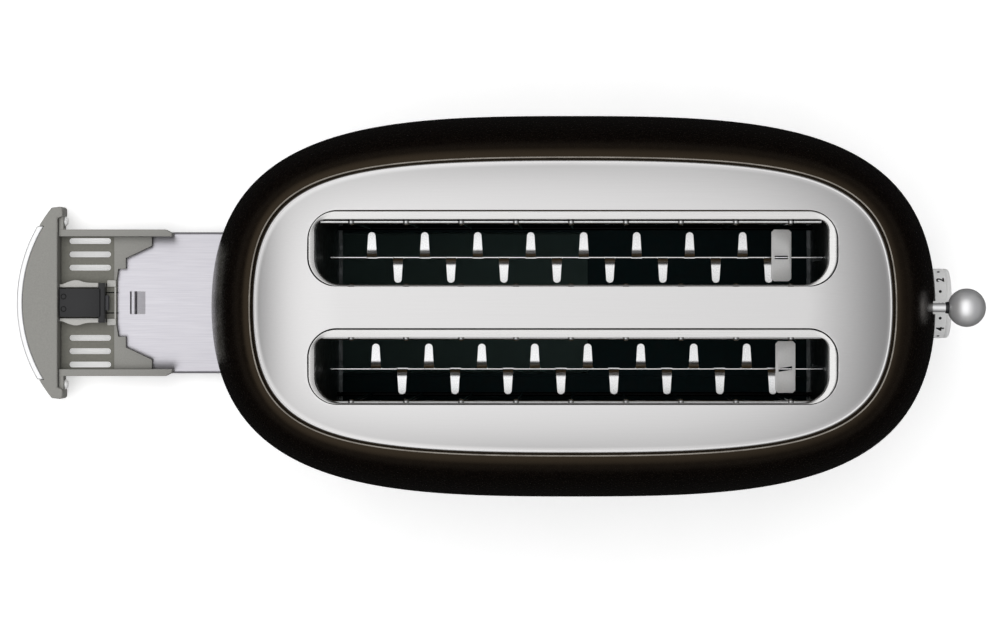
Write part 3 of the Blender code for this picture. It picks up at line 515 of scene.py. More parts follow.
def makeShell():
    v = shellValues
    halfLong = (shellHigh.x - shellLow.x) / 2
    halfWide = (shellHigh.y - shellLow.y) / 2
    rim, rimLong, rimWide = shellHigh.z, v["rimHalfLong"], v["rimHalfWide"]

    def ring(outlines, share, long, wide, level):
        # Between two outlines, each given by its two curve shares.
        return oval(long, wide, level, [mix(a, b, share) for a, b in zip(*outlines)])

    rings = []
    for step in range(v["lowerRings"]):
        rise = step / v["lowerRings"]
        inset = v["footInset"] * (1 - rise) ** 2
        rings.append(ring((v["footShares"], v["waistShares"]), rise, halfLong - inset,
                          halfWide - inset, mix(shellLow.z, v["waistZ"], rise)))
    power = 2 / v["shoulderPower"]
    for sine, cosine in quarterTurn(v["upperRings"]):
        inward = 1 - max(cosine, 0) ** power
        long, wide = mix(halfLong, rimLong, inward), mix(halfWide, rimWide, inward)
        rings.append(ring((v["waistShares"], v["rimShares"]), inward, long, wide,
                          mix(v["waistZ"], rim, sine ** power)))
    roll = v["rollRadius"]
    edges = [(roll * sine, roll * (1 - cosine)) for sine, cosine in quarterTurn(4, 1)]
    edges += [(roll, v["grooveDepth"]), (v["ledge"], v["grooveDepth"])]
    for inset, drop in edges:  # the rolled edge, and the groove and ledge for the plate
        rings.append(oval(rimLong - inset, rimWide - inset, rim - drop, v["rimShares"]))
    shell = addPiece("bodyShell", lofted(rings, False, False), enamel, "housing",
                     ("body_shell",))
    modified(shell, "SOLIDIFY", thickness=v["wall"], offset=-1, use_even_offset=True)
    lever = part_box("lever_arm")
    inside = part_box("control_board")[1].x + v["boardGap"]
    outside = shellHigh.x + clear
    half = v["leverSlotHalf"]
    leverMiddle = axisOf("lever_arm")[1]
    slot = roundedBox((leverMiddle - half, lever[0].z - v["leverTravel"]),
                      (leverMiddle + half, lever[1].z + v["slotRoom"]), half - 0.0002, steps=8)
    holes = [lofted([[(x, y, z) for y, z, level in slot] for x in (inside, outside)])]
    for name in ("browning_knob", *buttonNames):
        radius = v["buttonHole" if name in buttonNames else "shaftHole"]
        holes.append(turned([(inside, radius), (outside, radius)], axisOf(name), sides=40))
    cutOut(shell, *holes, sharpDegrees=38)


makeShell()
print("stage: body shell is made")

plateValues = {
    "halfLong": 0.1663, "halfWide": 0.0761, "rimZ": 0.191, "bead": 0.0008, "sheet": 0.0011,
    "crownWidth": 0.045, "crownPower": 2.2, "crownRings": 26, "shares": (0.78, 0.89),
    "slotLength": 0.275, "slotWidth": 0.0398, "slotRadius": 0.0155, "edgeRound": 0.0008,
    "sharpDegrees": 50,
}


def slotCorners(side, inset):
    v = plateValues
    middleY = middleOf(f"slot_liner_{side}").y
    halfLong = v["slotLength"] / 2 - inset
    halfWide = v["slotWidth"] / 2 - inset
    return (middleX - halfLong, middleY - halfWide), (middleX + halfLong, middleY + halfWide)


def makePlate():
    v = plateValues
    foot, top = (corner.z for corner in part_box("top_plate"))
    bead, rimZ = v["bead"], v["rimZ"]
    # Insets from the outline with their heights: foot, folded rim, the valley inside it, crown.
    places = [(0, foot)]
    places += [(bead * (1 - cosine), rimZ - bead + bead * sine) for sine, cosine in quarterTurn(8)]
    places += [(bead * share, rimZ - bead * drop)
               for share, drop in ((1.25, 0.06), (1.5, 0.14), (1.75, 0.12))]
    valley = (bead * 1.75, rimZ - bead * 0.1)
    for step in range(1, v["crownRings"] + 1):
        share = step / v["crownRings"]
        places.append((mix(valley[0], v["crownWidth"] + bead, share),
                       mix(valley[1], top, 1 - (1 - share) ** v["crownPower"])))
    rings = [oval(v["halfLong"] - inset, v["halfWide"] - inset, level, v["shares"])
             for inset, level in places]
    plate = addPiece("topPlate", lofted(rings, False, True), plateSteel, "housing",
                     ("top_plate",))
    modified(plate, "SOLIDIFY", thickness=v["sheet"], offset=-1)
    holes = []
    for side in sideNames:
        ring = roundedBox(*slotCorners(side, 0), v["slotRadius"], steps=18)
        holes.append(slab([(x, y) for x, y, level in ring], foot - clear, top + clear))
    cutOut(plate, *holes)
    modified(plate, "BEVEL", width=v["edgeRound"], segments=4, limit_method="ANGLE",
             angle_limit=math.radians(v["sharpDegrees"]), harden_normals=False)
    finishMesh(plate.data, sharpDegrees=v["sharpDegrees"])


makePlate()
print("stage: top plate is made")

linerValues = {
    "gap": 0.0005, "wall": 0.0008, "topZ": 0.1963, "lipZ": 0.1958, "bottomZ": 0.187,
    "bandNorth": 0.0042, "bandSouth": 0.0005, "bandRear": 0.0031, "bandFront": 0.0041,
    "mouthRadiusSouth": 0.0135, "mouthRadiusNorth": 0.0060, "bendRings": 6,
}


def makeLiners():
    v = linerValues
    top, lip, wall = v["topZ"], v["lipZ"], v["wall"]
    outer = plateValues["slotRadius"] - v["gap"]
    for side in sideNames:
        low, high = slotCorners(side, v["gap"])
        lipLow = (low[0] + v["bandRear"], low[1] + v["bandSouth"])
        lipHigh = (high[0] - v["bandFront"], high[1] - v["bandNorth"])

        def ringAt(share, level, out=0.0):
            # Share 0 is the outer edge of the band and share 1 the mouth.
            a = [mix(low[i], lipLow[i], share) - out for i in (0, 1)]
            b = [mix(high[i], lipHigh[i], share) + out for i in (0, 1)]
            return roundedBox(a, b, mix(outer, v["mouthRadiusSouth"], share) + out, level, 18,
                              mix(outer, v["mouthRadiusNorth"], share) + out)

        rings = [ringAt(0, top - 0.0006), ringAt(0.03, top - 0.0002), ringAt(0.10, top)]
        for step in range(1, v["bendRings"] + 1):
            share = step / v["bendRings"]
            rings.append(ringAt(mix(0.10, 1, share), mix(top, lip, share ** 1.6)))
        rings += [ringAt(1.03, lip - 0.0003), ringAt(1.05, lip - 0.0010),
                  ringAt(1.05, v["bottomZ"]), ringAt(1.05, v["bottomZ"], wall),
                  ringAt(1.05, lip - 0.0012, wall), ringAt(0.12, top - wall)]
        addPiece(f"slotLiner_{side}", lofted(rings, closeLoop=True), linerSteel, "housing",
                 (f"slot_liner_{side}",), sharpDegrees=48)


makeLiners()
print("stage: slot liners are made")

baseValues = {
    "chamfer": 0.001, "wall": 0.0014, "shares": (0.60, 0.80), "gap": 0.0005, "trayTravel": 0.133,
    "footRadius": 0.008, "footGroove": 0.0005, "bore": 0.00375, "neck": 0.0052, "flange": 0.007,
}


def makeBaseRing():
    v = baseValues
    low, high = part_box("base_ring")
    halfLong = high.x - middleX  # the rear end is open for the tray, so the box is shorter there
    halfWide = (high.y - low.y) / 2
    chamfer = v["chamfer"]
    places = [(chamfer * (1 - sine), low.z + chamfer * (1 - cosine))
              for sine, cosine in quarterTurn(4)]
    places += [(0, mix(low.z + chamfer, high.z, step / 4)) for step in range(1, 5)]
    places += [(v["wall"] + chamfer, level) for level in (high.z, low.z)]
    rings = [oval(halfLong - inset, halfWide - inset, level, v["shares"])
             for inset, level in places]
    ring = addPiece("baseRing", lofted(rings, closeLoop=True), metallised, "housing",
                    ("base_ring",))
    gap = v["gap"]
    trayEnd = fasciaHigh.x + v["trayTravel"]  # where the fascia's back is with the tray pushed in
    cutOut(ring, block((middleX - halfLong - clear, fasciaLow.y - gap, low.z - clear),
                       (trayEnd + gap, fasciaHigh.y + gap, high.z + clear)))


def makeFeetAndBush():
    v = baseValues
    for end in endNames:
        for side in sideNames:
            name = f"foot_{end}_{side}"
            low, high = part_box(name)
            r = v["footRadius"]
            profile = [(low.z, 0), (low.z, r - 0.0014), (low.z + 0.0003, r - 0.0010)]
            for share in (0.3, 0.42, 0.54, 0.66, 0.78):  # fine rings round a moulded foot
                profile.append((mix(low.z, high.z, share), r - v["footGroove"]))
                profile.append((mix(low.z, high.z, share + 0.06), r))
            profile += [(high.z, r), (high.z, 0)]
            middle = middleOf(name)
            shape = turned(profile, (middle.x, middle.y, 0), "Z")
            addPiece(f"rubberFoot_{end}_{side}", shape, rubber, "housing", (name,))
    low, high = (corner.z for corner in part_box("cord_bush"))
    middle = middleOf("cord_bush")
    bore, neck, flange = v["bore"], v["neck"], v["flange"]
    sheet, edge = 0.002, 0.0006  # each flange's thickness, and its small round
    profile = [(low, bore + edge), (low, flange - 0.0008), (low + 0.0008, flange),
               (low + sheet, flange), (low + sheet, neck), (high - sheet, neck),
               (high - sheet, flange), (high - edge, flange), (high, flange - edge),
               (high, bore + edge), (high - edge, bore), (low + edge, bore)]
    addPiece("cordBush", turned(profile, (middle.x, middle.y, 0), "Z", 48, True), rubber, "housing",
             ("cord_bush",))


makeBaseRing()
makeFeetAndBush()
print("stage: base is made")

# Geometry Nodes: every tree here has named sizes as inputs and ends in plain geometry.
floatIn, intIn, vectorIn, objectIn = (
    f"NodeSocket{kind}" for kind in ("Float", "Int", "Vector", "Object"))


def labelOf(key):
    # The input's name for a key: its words apart.
    return "".join(" " + letter.lower() if letter.isupper() else letter for letter in key)


def newTree(name, **sizes):
    tree = bpy.data.node_groups.new(name, "GeometryNodeTree")
    tree.interface.new_socket("Geometry", in_out="OUTPUT", socket_type="NodeSocketGeometry")
    for key, kind in sizes.items():
        tree.interface.new_socket(labelOf(key), in_out="INPUT", socket_type=kind)
    outputs = tree.nodes.new("NodeGroupInput").outputs
    return tree, {key: outputs[labelOf(key)] for key in sizes}


def endTree(tree, geometry, material):
    real = addNode(tree, "GeometryNodeRealizeInstances", {}, {"Geometry": geometry})
    painted = addNode(tree, "GeometryNodeSetMaterial", {}, {"Geometry": real.outputs[0]})
    painted.inputs["Material"].default_value = material
    output = tree.nodes.new("NodeGroupOutput")
    tree.links.new(painted.outputs[0], output.inputs[0])
    return tree


def grownObject(name, tree, values):
    # Runs a tree with the given sizes and keeps its result as a plain mesh.
    piece = addObject(name, bpy.data.meshes.new(name))
    modifier = piece.modifiers.new("grow", "NODES")
    modifier.node_group = tree
    sizes = {labelOf(key): value for key, value in values.items()}
    for item in tree.interface.items_tree:
        if item.in_out == "INPUT":
            modifier[item.identifier] = sizes[item.name]
    bakeModifiers(piece)
    return piece


def grown(name, tree, values, body, replaced=(), smooth=True):
    piece = grownObject(name, tree, values)
    finishMesh(piece.data, smooth, 40)
    settle(piece, body, replaced)


def roundBar(tree, start, end, radius, sides=10):
    # A closed round bar between two points.
    line = addNode(tree, "GeometryNodeCurvePrimitiveLine", {}, {"Start": start, "End": end})
    section = addNode(tree, "GeometryNodeCurvePrimitiveCircle", {}, {
        "Resolution": sides, "Radius": radius})
    bar = addNode(tree, "GeometryNodeCurveToMesh", {}, {
        "Curve": line.outputs[0], "Profile Curve": section.outputs[0], "Fill Caps": True})
    return bar.outputs[0]


def vectorOf(tree, x=0.0, y=0.0, z=0.0):
    return addNode(tree, "ShaderNodeCombineXYZ", {}, {"X": x, "Y": y, "Z": z}).outputs[0]


def shifted(tree, base, x=0.0, y=0.0, z=0.0):
    return addNode(tree, "ShaderNodeVectorMath", {"operation": "ADD"}, {
        0: base, 1: vectorOf(tree, x, y, z)}).outputs[0]


def rowOfPoints(tree, count, start, step):
    return addNode(tree, "GeometryNodeMeshLine", {"mode": "OFFSET"}, {
        "Count": count, "Start Location": start, "Offset": step}).outputs[0]


def placedOn(tree, points, shape, rotation=(0, 0, 0)):
    return addNode(tree, "GeometryNodeInstanceOnPoints", {}, {
        "Points": points, "Instance": shape, "Rotation": rotation}).outputs[0]


def moved(tree, geometry, **settings):
    inputs = {"Geometry": geometry}
    inputs.update(settings)
    return addNode(tree, "GeometryNodeTransform", {}, inputs).outputs[0]


def joined(tree, parts):
    join = tree.nodes.new("GeometryNodeJoinGeometry")
    for part in parts:
        tree.links.new(part, join.inputs[0])
    return join.outputs[0]


def fromObject(tree, source):
    return addNode(tree, "GeometryNodeObjectInfo", {}, {"Object": source}).outputs["Geometry"]


edgeValues = {"radius": 0.0004, "sink": 0.00012, "inset": 0.0004}


def edgeTree():
    # A thin round bead that follows a closed line.
    tree, given = newTree("edge bead", line=objectIn, radius=floatIn)
    curve = addNode(tree, "GeometryNodeMeshToCurve", {}, {"Mesh": fromObject(tree, given["line"])})
    section = addNode(tree, "GeometryNodeCurvePrimitiveCircle", {}, {
        "Resolution": 8, "Radius": given["radius"]})
    bead = addNode(tree, "GeometryNodeCurveToMesh", {}, {
        "Curve": curve.outputs[0], "Profile Curve": section.outputs[0]})
    return endTree(tree, bead.outputs[0], edgeHighlight)


def helperObject(name, points, edges=(), faces=()):
    mesh = bpy.data.meshes.new(name)
    mesh.from_pydata(points, edges, faces)
    return addObject(name, mesh)


def makeShellEdge():
    # A pale line along the shell's rolled edge: a painted highlight.
    v = edgeValues
    ring = oval(shellValues["rimHalfLong"] - v["inset"], shellValues["rimHalfWide"] - v["inset"],
                shellHigh.z - v["sink"], shellValues["rimShares"])
    count = len(ring)
    line = helperObject("edgeLine", ring, [(i, (i + 1) % count) for i in range(count)])
    grown("shellEdge", edgeTree(), {**v, "line": line}, "housing")
    bpy.data.objects.remove(line, do_unlink=True)


makeShellEdge()
print("stage: shell edge is made")

guardValues = {"wires": 9, "pitch": 0.02865, "wireRadius": 0.0009, "rodRadius": 0.0012,
               "rodHalfLength": 0.1305, "pinHalfLength": 0.138, "beadRadius": 0.0020,
               "shift": 0.001}


def guardTree():
    # A bread guard: upright wires spot-welded between a top rod and a pivot rod.
    tree, given = newTree("bread guard", pivot=vectorIn, height=floatIn, wires=intIn, pitch=floatIn,
                          wireRadius=floatIn, rodRadius=floatIn, rodHalfLength=floatIn,
                          pinHalfLength=floatIn, beadRadius=floatIn)
    pivot, height = given["pivot"], vectorOf(tree, z=given["height"])
    rods = []
    for base, reach in ((shifted(tree, pivot, z=given["height"]), given["rodHalfLength"]),
                        (pivot, given["pinHalfLength"])):
        rods.append(roundBar(tree, shifted(tree, base, x=mathOf(tree, "MULTIPLY", reach, -1.0)),
                             shifted(tree, base, x=reach), given["rodRadius"], 12))
    wire = roundBar(tree, (0, 0, 0), height, given["wireRadius"], 8)
    spaces = mathOf(tree, "SUBTRACT", given["wires"], 1.0)
    half = mathOf(tree, "MULTIPLY", mathOf(tree, "MULTIPLY", spaces, given["pitch"]), -0.5)
    places = rowOfPoints(tree, given["wires"], shifted(tree, pivot, x=half),
                         vectorOf(tree, given["pitch"]))
    bead = addNode(tree, "GeometryNodeMeshUVSphere", {}, {
        "Segments": 16, "Rings": 10, "Radius": given["beadRadius"]})
    crests = moved(tree, places, Translation=height)
    parts = (*rods, placedOn(tree, places, wire), placedOn(tree, crests, bead.outputs[0]))
    return endTree(tree, joined(tree, parts), slotShadedWire)


def makeGuards():
    v = guardValues
    tree = guardTree()
    for side in sideNames:
        for face in sideNames:
            name = f"guard_{side}_slot_{face}"
            low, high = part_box(name)
            rod = v["rodRadius"]
            values = {**v, "pivot": (middleX - v["shift"], middleOf(name).y, low.z + rod),
                      "height": high.z - low.z - 2 * rod}
            grown(f"breadGuard_{side}_{face}", tree, values, name, (name,))


makeGuards()
print("stage: bread guards are made")

railValues = {
    "sheet": 0.0008, "tabs": 8, "pitch": 0.02865, "northX": -0.1091, "southX": -0.09495,
    "southShift": 0.0022, "tabLength": 0.0135, "root": 0.0054, "tip": 0.0040, "notchHalf": 0.0030,
    "notchDepth": 0.0100, "stopCorner": 0.0014, "stopSlotHalf": (0.0036, 0.0009),
    "stopSlotLean": 0.0006,
}


def tabObject(sideShare):
    # One tab bent over from the rail: a folded root, then a tapering blade with a round tip.
    v = railValues
    root, tip = v["root"] / 2, v["tip"] / 2
    lines = [(reach, root, -drop) for reach, drop in (
        (0.0, 0.0034), (0.0001, 0.0020), (0.0005, 0.0012), (0.0011, 0.0005), (0.0018, 0))]
    straight = v["tabLength"] - tip
    lines.append((straight * 0.5, mix(root, tip, 0.5), 0))
    for step in range(7):
        angle = math.pi / 2 * step / 6 * 0.96
        lines.append((straight + tip * math.sin(angle), tip * math.cos(angle), 0))
    shape = stripOf([[(x, sideShare * reach, level) for x in (-halfWidth, halfWidth)]
                     for reach, halfWidth, level in lines])
    bmesh.ops.recalc_face_normals(shape, faces=shape.faces)
    if sum(face.normal.z for face in shape.faces) < 0:
        bmesh.ops.reverse_faces(shape, faces=shape.faces)
    bmesh.ops.solidify(shape, geom=shape.faces[:], thickness=v["sheet"] * 0.9)
    mesh = bpy.data.meshes.new("tab")
    shape.to_mesh(mesh)
    shape.free()
    return addObject("tab", mesh)


def tabTree():
    # A row of like tabs along a rail.
    tree, given = newTree("lifter tabs", tab=objectIn, first=vectorIn, tabs=intIn, pitch=floatIn)
    places = rowOfPoints(tree, given["tabs"], given["first"], vectorOf(tree, given["pitch"]))
    return endTree(tree, placedOn(tree, places, fromObject(tree, given["tab"])), wireSteel)


def makeRail(side, tree):
    v = railValues
    low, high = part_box(f"lifter_rail_{side}")
    railY = (low.y + high.y) / 2
    shift = middleX + (v["southShift"] if side == "south" else 0)
    half = v["sheet"] / 2
    web = block((low.x, railY - half, low.z), (high.x, railY + half, high.z - 0.0009), 0.0002, 1)
    rail = addPiece(f"lifterRail_{side}", web, wireSteel, "carriage",
                    (f"lifter_rail_{side}",))
    gaps = []
    for firstX in (v["northX"], v["southX"]):  # the rail is notched where a tab is bent out of it
        for number in range(v["tabs"]):
            tabX = shift + firstX + number * v["pitch"]
            gaps.append(block((tabX - v["notchHalf"], railY - clear, high.z - v["notchDepth"]),
                              (tabX + v["notchHalf"], railY + clear, high.z + clear)))
    cutOut(rail, *gaps)
    for face, sideShare, firstX in (("north", 1, v["northX"]), ("south", -1, v["southX"])):
        tab = tabObject(sideShare)
        first = (shift + firstX, railY + sideShare * half * 0.4, high.z)
        grown(f"lifterTabs_{side}_{face}", tree, {**v, "tab": tab, "first": first}, "carriage")
        bpy.data.objects.remove(tab, do_unlink=True)
    return railY


def makeBreadStop(side, railY):
    v = railValues
    name = f"bread_stop_{side}"
    low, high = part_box(name)
    corner = v["stopCorner"]
    outline = [(low.x + corner, low.y), (high.x - corner, low.y), (high.x, low.y + corner),
               (high.x, high.y - corner), (high.x - corner, high.y), (low.x + corner, high.y),
               (low.x, high.y - corner), (low.x, low.y + corner)]
    plate = addPiece(f"breadStop_{side}", slab(outline, low.z, high.z), silverLacquer, "carriage",
                     (name,))
    lean = v["stopSlotLean"] if side == "south" else 0.0
    halfLong, halfWide = v["stopSlotHalf"]
    middle = (low.x + high.x) / 2
    hole = [(middle + along * halfLong, railY + across * halfWide + along * lean)
            for along, across in ((-1, -1), (1, -1), (1, 1), (-1, 1))]
    cutOut(plate, slab(hole, low.z - clear, high.z + clear))
    modified(plate, "BEVEL", width=0.00025, segments=2, limit_method="ANGLE")
    finishMesh(plate.data)


def makeLifters():
    tree = tabTree()
    for side in sideNames:
        makeBreadStop(side, makeRail(side, tree))


makeLifters()
print("stage: lifters are made")

heaterValues = {"pitch": 0.0070, "width": 0.0014, "thickness": 0.00035, "lift": 0.00045,
                "endMargin": 0.010}


def windingTree():
    # Ribbon wound round a mica board: upright runs on both faces, joined over the edges.
    tree, given = newTree("heater winding", first=vectorIn, turns=intIn, pitch=floatIn,
                          runHeight=floatIn, depth=floatIn, width=floatIn, thickness=floatIn)
    section, loop = (addNode(tree, "GeometryNodeCurvePrimitiveQuadrilateral", {}, {
        "Width": given[wide], "Height": given[high]}).outputs[0]
        for wide, high in (("thickness", "width"), ("runHeight", "depth")))
    loop = moved(tree, loop, Rotation=(math.pi / 2, math.pi / 2, 0))
    turn = addNode(tree, "GeometryNodeCurveToMesh", {}, {
        "Curve": loop, "Profile Curve": section, "Fill Caps": True})
    places = rowOfPoints(tree, given["turns"], given["first"], vectorOf(tree, given["pitch"]))
    return endTree(tree, placedOn(tree, places, turn.outputs[0]), ribbon)


def makeHeaters():
    v = heaterValues
    tree = windingTree()
    for plane in planeNames:
        for end in endNames:
            low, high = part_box(f"heater_{plane}_{end}")
            middle = (low + high) / 2
            turns = int((high.x - low.x - 2 * v["endMargin"]) / v["pitch"]) + 1
            start = middle.x - (turns - 1) * v["pitch"] / 2
            values = {**v, "first": (start, middle.y, middle.z), "turns": turns,
                      "runHeight": high.z - low.z + 2 * v["lift"],
                      "depth": high.y - low.y + 2 * v["lift"]}
            grown(f"heaterWinding_{plane}_{end}", tree, values, "housing",
                  smooth=False)


makeHeaters()
print("stage: heater windings are made")

leverValues = {"stemRadius": 0.0024, "collarRadius": 0.0030, "collarLength": 0.0012,
               "neckRadius": 0.0040, "ballRings": 40, "edge": 0.0002, "boreDepth": 0.0043}


def makeLever():
    v = leverValues
    low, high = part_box("lever_arm")
    axis = axisOf("lever_arm")
    ballLow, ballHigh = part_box("lever_ball")
    radius = (ballHigh.z - ballLow.z) / 2
    ballX = middleOf("lever_ball").x
    stemRadius, edge = v["stemRadius"], v["edge"]
    collarX = ballLow.x - v["collarLength"]
    stem = [(low.x, 0), (low.x, stemRadius - edge), (low.x + edge, stemRadius),
            (collarX - 0.0006, stemRadius), (high.x, stemRadius), (high.x, 0)]
    addPiece("leverStem", turned(stem, axis, sides=32), metallised, "carriage",
             ("lever_arm",))
    collar, bore = v["collarRadius"], stemRadius + 0.0001
    collarEnd = ballLow.x + 0.0007
    profile = [(collarX, bore), (collarX, collar - edge), (collarX + edge, collar),
               (ballLow.x + edge, collar + edge), (collarEnd, collar), (collarEnd, bore)]
    addPiece("leverCollar", turned(profile, axis, sides=48, closeLoop=True), blackAbs, "carriage")
    start = math.pi - math.asin(v["neckRadius"] / radius)
    ball = []
    for step in range(v["ballRings"]):
        angle = mix(start, 0, step / v["ballRings"])
        ball.append((ballX + radius * math.cos(angle), radius * math.sin(angle)))
    ball.append((ballX + radius, 0))
    boreEnd = ballLow.x + v["boreDepth"]
    neck = ball[0][0]
    ball = [(boreEnd, 0), (boreEnd, stemRadius + edge), (neck + 0.0003, stemRadius + edge),
            (neck, stemRadius + 0.0006)] + ball
    addPiece("leverBall", turned(ball, axis, sides=80), metallised, "carriage",
             ("lever_ball",))


makeLever()
print("stage: lever is made")

knobValues = {
    "bore": 0.006, "wall": 0.003, "rearEdge": 0.0005, "skirtStep": 0.0022, "skirtInset": 0.0003,
    "rimRound": 0.0018, "rimGroove": 0.00025, "dome": 0.0013, "numbers": range(1, 8),
    "topNumber": 3, "digitHeight": 0.0042, "bolder": 0.00018, "topTurn": -2.6, "digitPlace": 0.54,
    "dotPlace": 0.52, "dots": 6, "dotRadius": 0.00085, "pitch": 45.0, "inkThickness": 0.00006,
    "inkLift": 0.00001, "strip": 0.0004,
}


def dotTree():
    # Printed dots at even turns round the barrel of the dial.
    tree, given = newTree("dial dots", centre=vectorIn, barrelRadius=floatIn, dotRadius=floatIn,
                          thickness=floatIn, dots=intIn, firstTurn=floatIn, turnBetween=floatIn)
    dot = addNode(tree, "GeometryNodeMeshCylinder", {}, {
        "Vertices": 20, "Side Segments": 1, "Fill Segments": 1, "Radius": given["dotRadius"],
        "Depth": given["thickness"]})
    points = addNode(tree, "GeometryNodePoints", {}, {"Count": given["dots"]})
    index = addNode(tree, "GeometryNodeInputIndex")
    turn = mathOf(tree, "MULTIPLY_ADD", index.outputs[0], given["turnBetween"], given["firstTurn"])
    y, z = (mathOf(tree, "MULTIPLY", mathOf(tree, kind, turn), given["barrelRadius"])
            for kind in ("SINE", "COSINE"))
    placed = addNode(tree, "GeometryNodeSetPosition", {}, {
        "Geometry": points.outputs[0], "Position": shifted(tree, given["centre"], y=y, z=z)})
    tilt = vectorOf(tree, mathOf(tree, "MULTIPLY", turn, -1.0))
    return endTree(tree, placedOn(tree, placed.outputs[0], dot.outputs[0], tilt), ink)


def wrappedDigit(text, turnDegrees, centre, barrel):
    # A printed digit bent round the barrel, its top towards the toaster.
    v = knobValues
    capShare = 0.69  # height of a digit in the typeface, as a share of its size
    curve = bpy.data.curves.new("digit", "FONT")
    setAll(curve, body=text, size=v["digitHeight"] / capShare, offset=v["bolder"], align_x="CENTER",
           align_y="CENTER", resolution_u=6)
    shape = shapeOf(addObject("digit", curve))
    midX, midY = ((min(places) + max(places)) / 2
                  for places in zip(*(vert.co.xy for vert in shape.verts)))
    for step in range(-8, 9):  # narrow strips, so that the print follows the barrel
        bmesh.ops.bisect_plane(shape, geom=shape.verts[:] + shape.edges[:] + shape.faces[:],
                               plane_co=(midX + step * v["strip"], 0, 0), plane_no=(1, 0, 0))
    bmesh.ops.solidify(shape, geom=shape.faces[:], thickness=v["inkThickness"])
    base = min(vert.co.z for vert in shape.verts)
    for vert in shape.verts:
        turn = math.radians(turnDegrees) + (vert.co.x - midX) / barrel
        reach = barrel + vert.co.z - base
        vert.co = (centre[0] - (vert.co.y - midY), centre[1] + reach * math.sin(turn),
                   centre[2] + reach * math.cos(turn))
    return shape


def makeKnob():
    v = knobValues
    low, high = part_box("browning_knob")
    rear, front = low.x, high.x
    axis = axisOf("browning_knob")
    radius = (high.z - low.z) / 2
    roll, skirt = v["rimRound"], rear + v["skirtStep"]
    shoulder = front - v["dome"] - roll
    inner = radius - v["skirtInset"]
    profile = [(rear + v["bore"], 0), (rear + v["bore"], radius - v["wall"] - 0.0005),
               (rear, radius - v["wall"]), (rear, radius - v["rearEdge"]),
               (rear + v["rearEdge"], radius), (skirt, radius), (skirt + 0.0003, inner),
               (shoulder - 0.0016, inner), (shoulder - 0.0013, inner - v["rimGroove"]),
               (shoulder - 0.0010, inner)]
    profile += [(shoulder + roll * sine, inner - roll * (1 - cosine))
                for sine, cosine in quarterTurn(8)]
    shares = [1 - ring / 12 for ring in range(1, 13)]
    profile += [(front - v["dome"] * share ** 2, (inner - roll) * share) for share in shares]
    addPiece("browningKnob", turned(profile, axis, sides=128), silverLacquer, "knob",
             ("browning_knob",), sharpDegrees=50)
    centre = (mix(rear, front, v["digitPlace"]), *axis[1:])
    digits = []
    for number in v["numbers"]:
        turn = v["topTurn"] - (number - v["topNumber"]) * v["pitch"]
        digits.append(wrappedDigit(str(number), turn, centre, inner + v["inkLift"]))
    addPiece("dialDigits", together(*digits), ink, "knob", smooth=False)
    values = {**v, "centre": (mix(rear, front, v["dotPlace"]), *axis[1:]), "barrelRadius": inner,
              "thickness": 2 * v["inkThickness"], "turnBetween": math.radians(v["pitch"]),
              "firstTurn": math.radians(v["topTurn"] - 3.5 * v["pitch"])}
    grown("dialDots", dotTree(), values, "knob")


makeKnob()
print("stage: browning knob is made")

buttonValues = {"round": 0.0012, "dish": 0.0006, "dishShare": 0.72}


def makeButtons():
    v = buttonValues
    for name in buttonNames:
        low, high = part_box(name)
        radius = (high.z - low.z) / 2
        roll = v["round"]
        profile = [(low.x, 0), (low.x, radius)]
        profile += [(high.x - roll * (1 - sine), radius - roll * (1 - cosine))
                    for sine, cosine in quarterTurn(6)]
        edge = (radius - roll) * v["dishShare"]
        shares = [1 - step / 5 for step in range(6)]
        profile += [(high.x - v["dish"] * (1 - share ** 2), edge * share) for share in shares]
        addPiece(f"push{name.capitalize()}", turned(profile, axisOf(name), sides=48),
                 charcoalNylon, name, (name,))


makeButtons()
print("stage: push buttons are made")

fasciaValues = {
    "radius": 0.089, "halfWidth": 0.0553, "pocketHalfWidth": 0.043, "lobeDepth": 0.003,
    "lobeLength": 0.0066, "wall": 0.003, "edgeRound": 0.0009, "screwHole": 0.0018,
    "trimSheet": 0.0012, "trimHalfWidth": 0.044, "trimInset": 0.0008, "trimWidth": 0.0032,
    "trimRise": 0.0004, "trimRound": 0.0014, "arcSteps": 64,
}


def fasciaArc(radius, halfChord):
    # Points on the bulged front, from its south end to its north end.
    v = fasciaValues
    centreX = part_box("tray_trim")[0].x + v["radius"]
    reach = math.asin(halfChord / radius)
    angles = [mix(-reach, reach, step / v["arcSteps"]) for step in range(v["arcSteps"] + 1)]
    return [(centreX - radius * math.cos(a), trayY + radius * math.sin(a)) for a in angles]


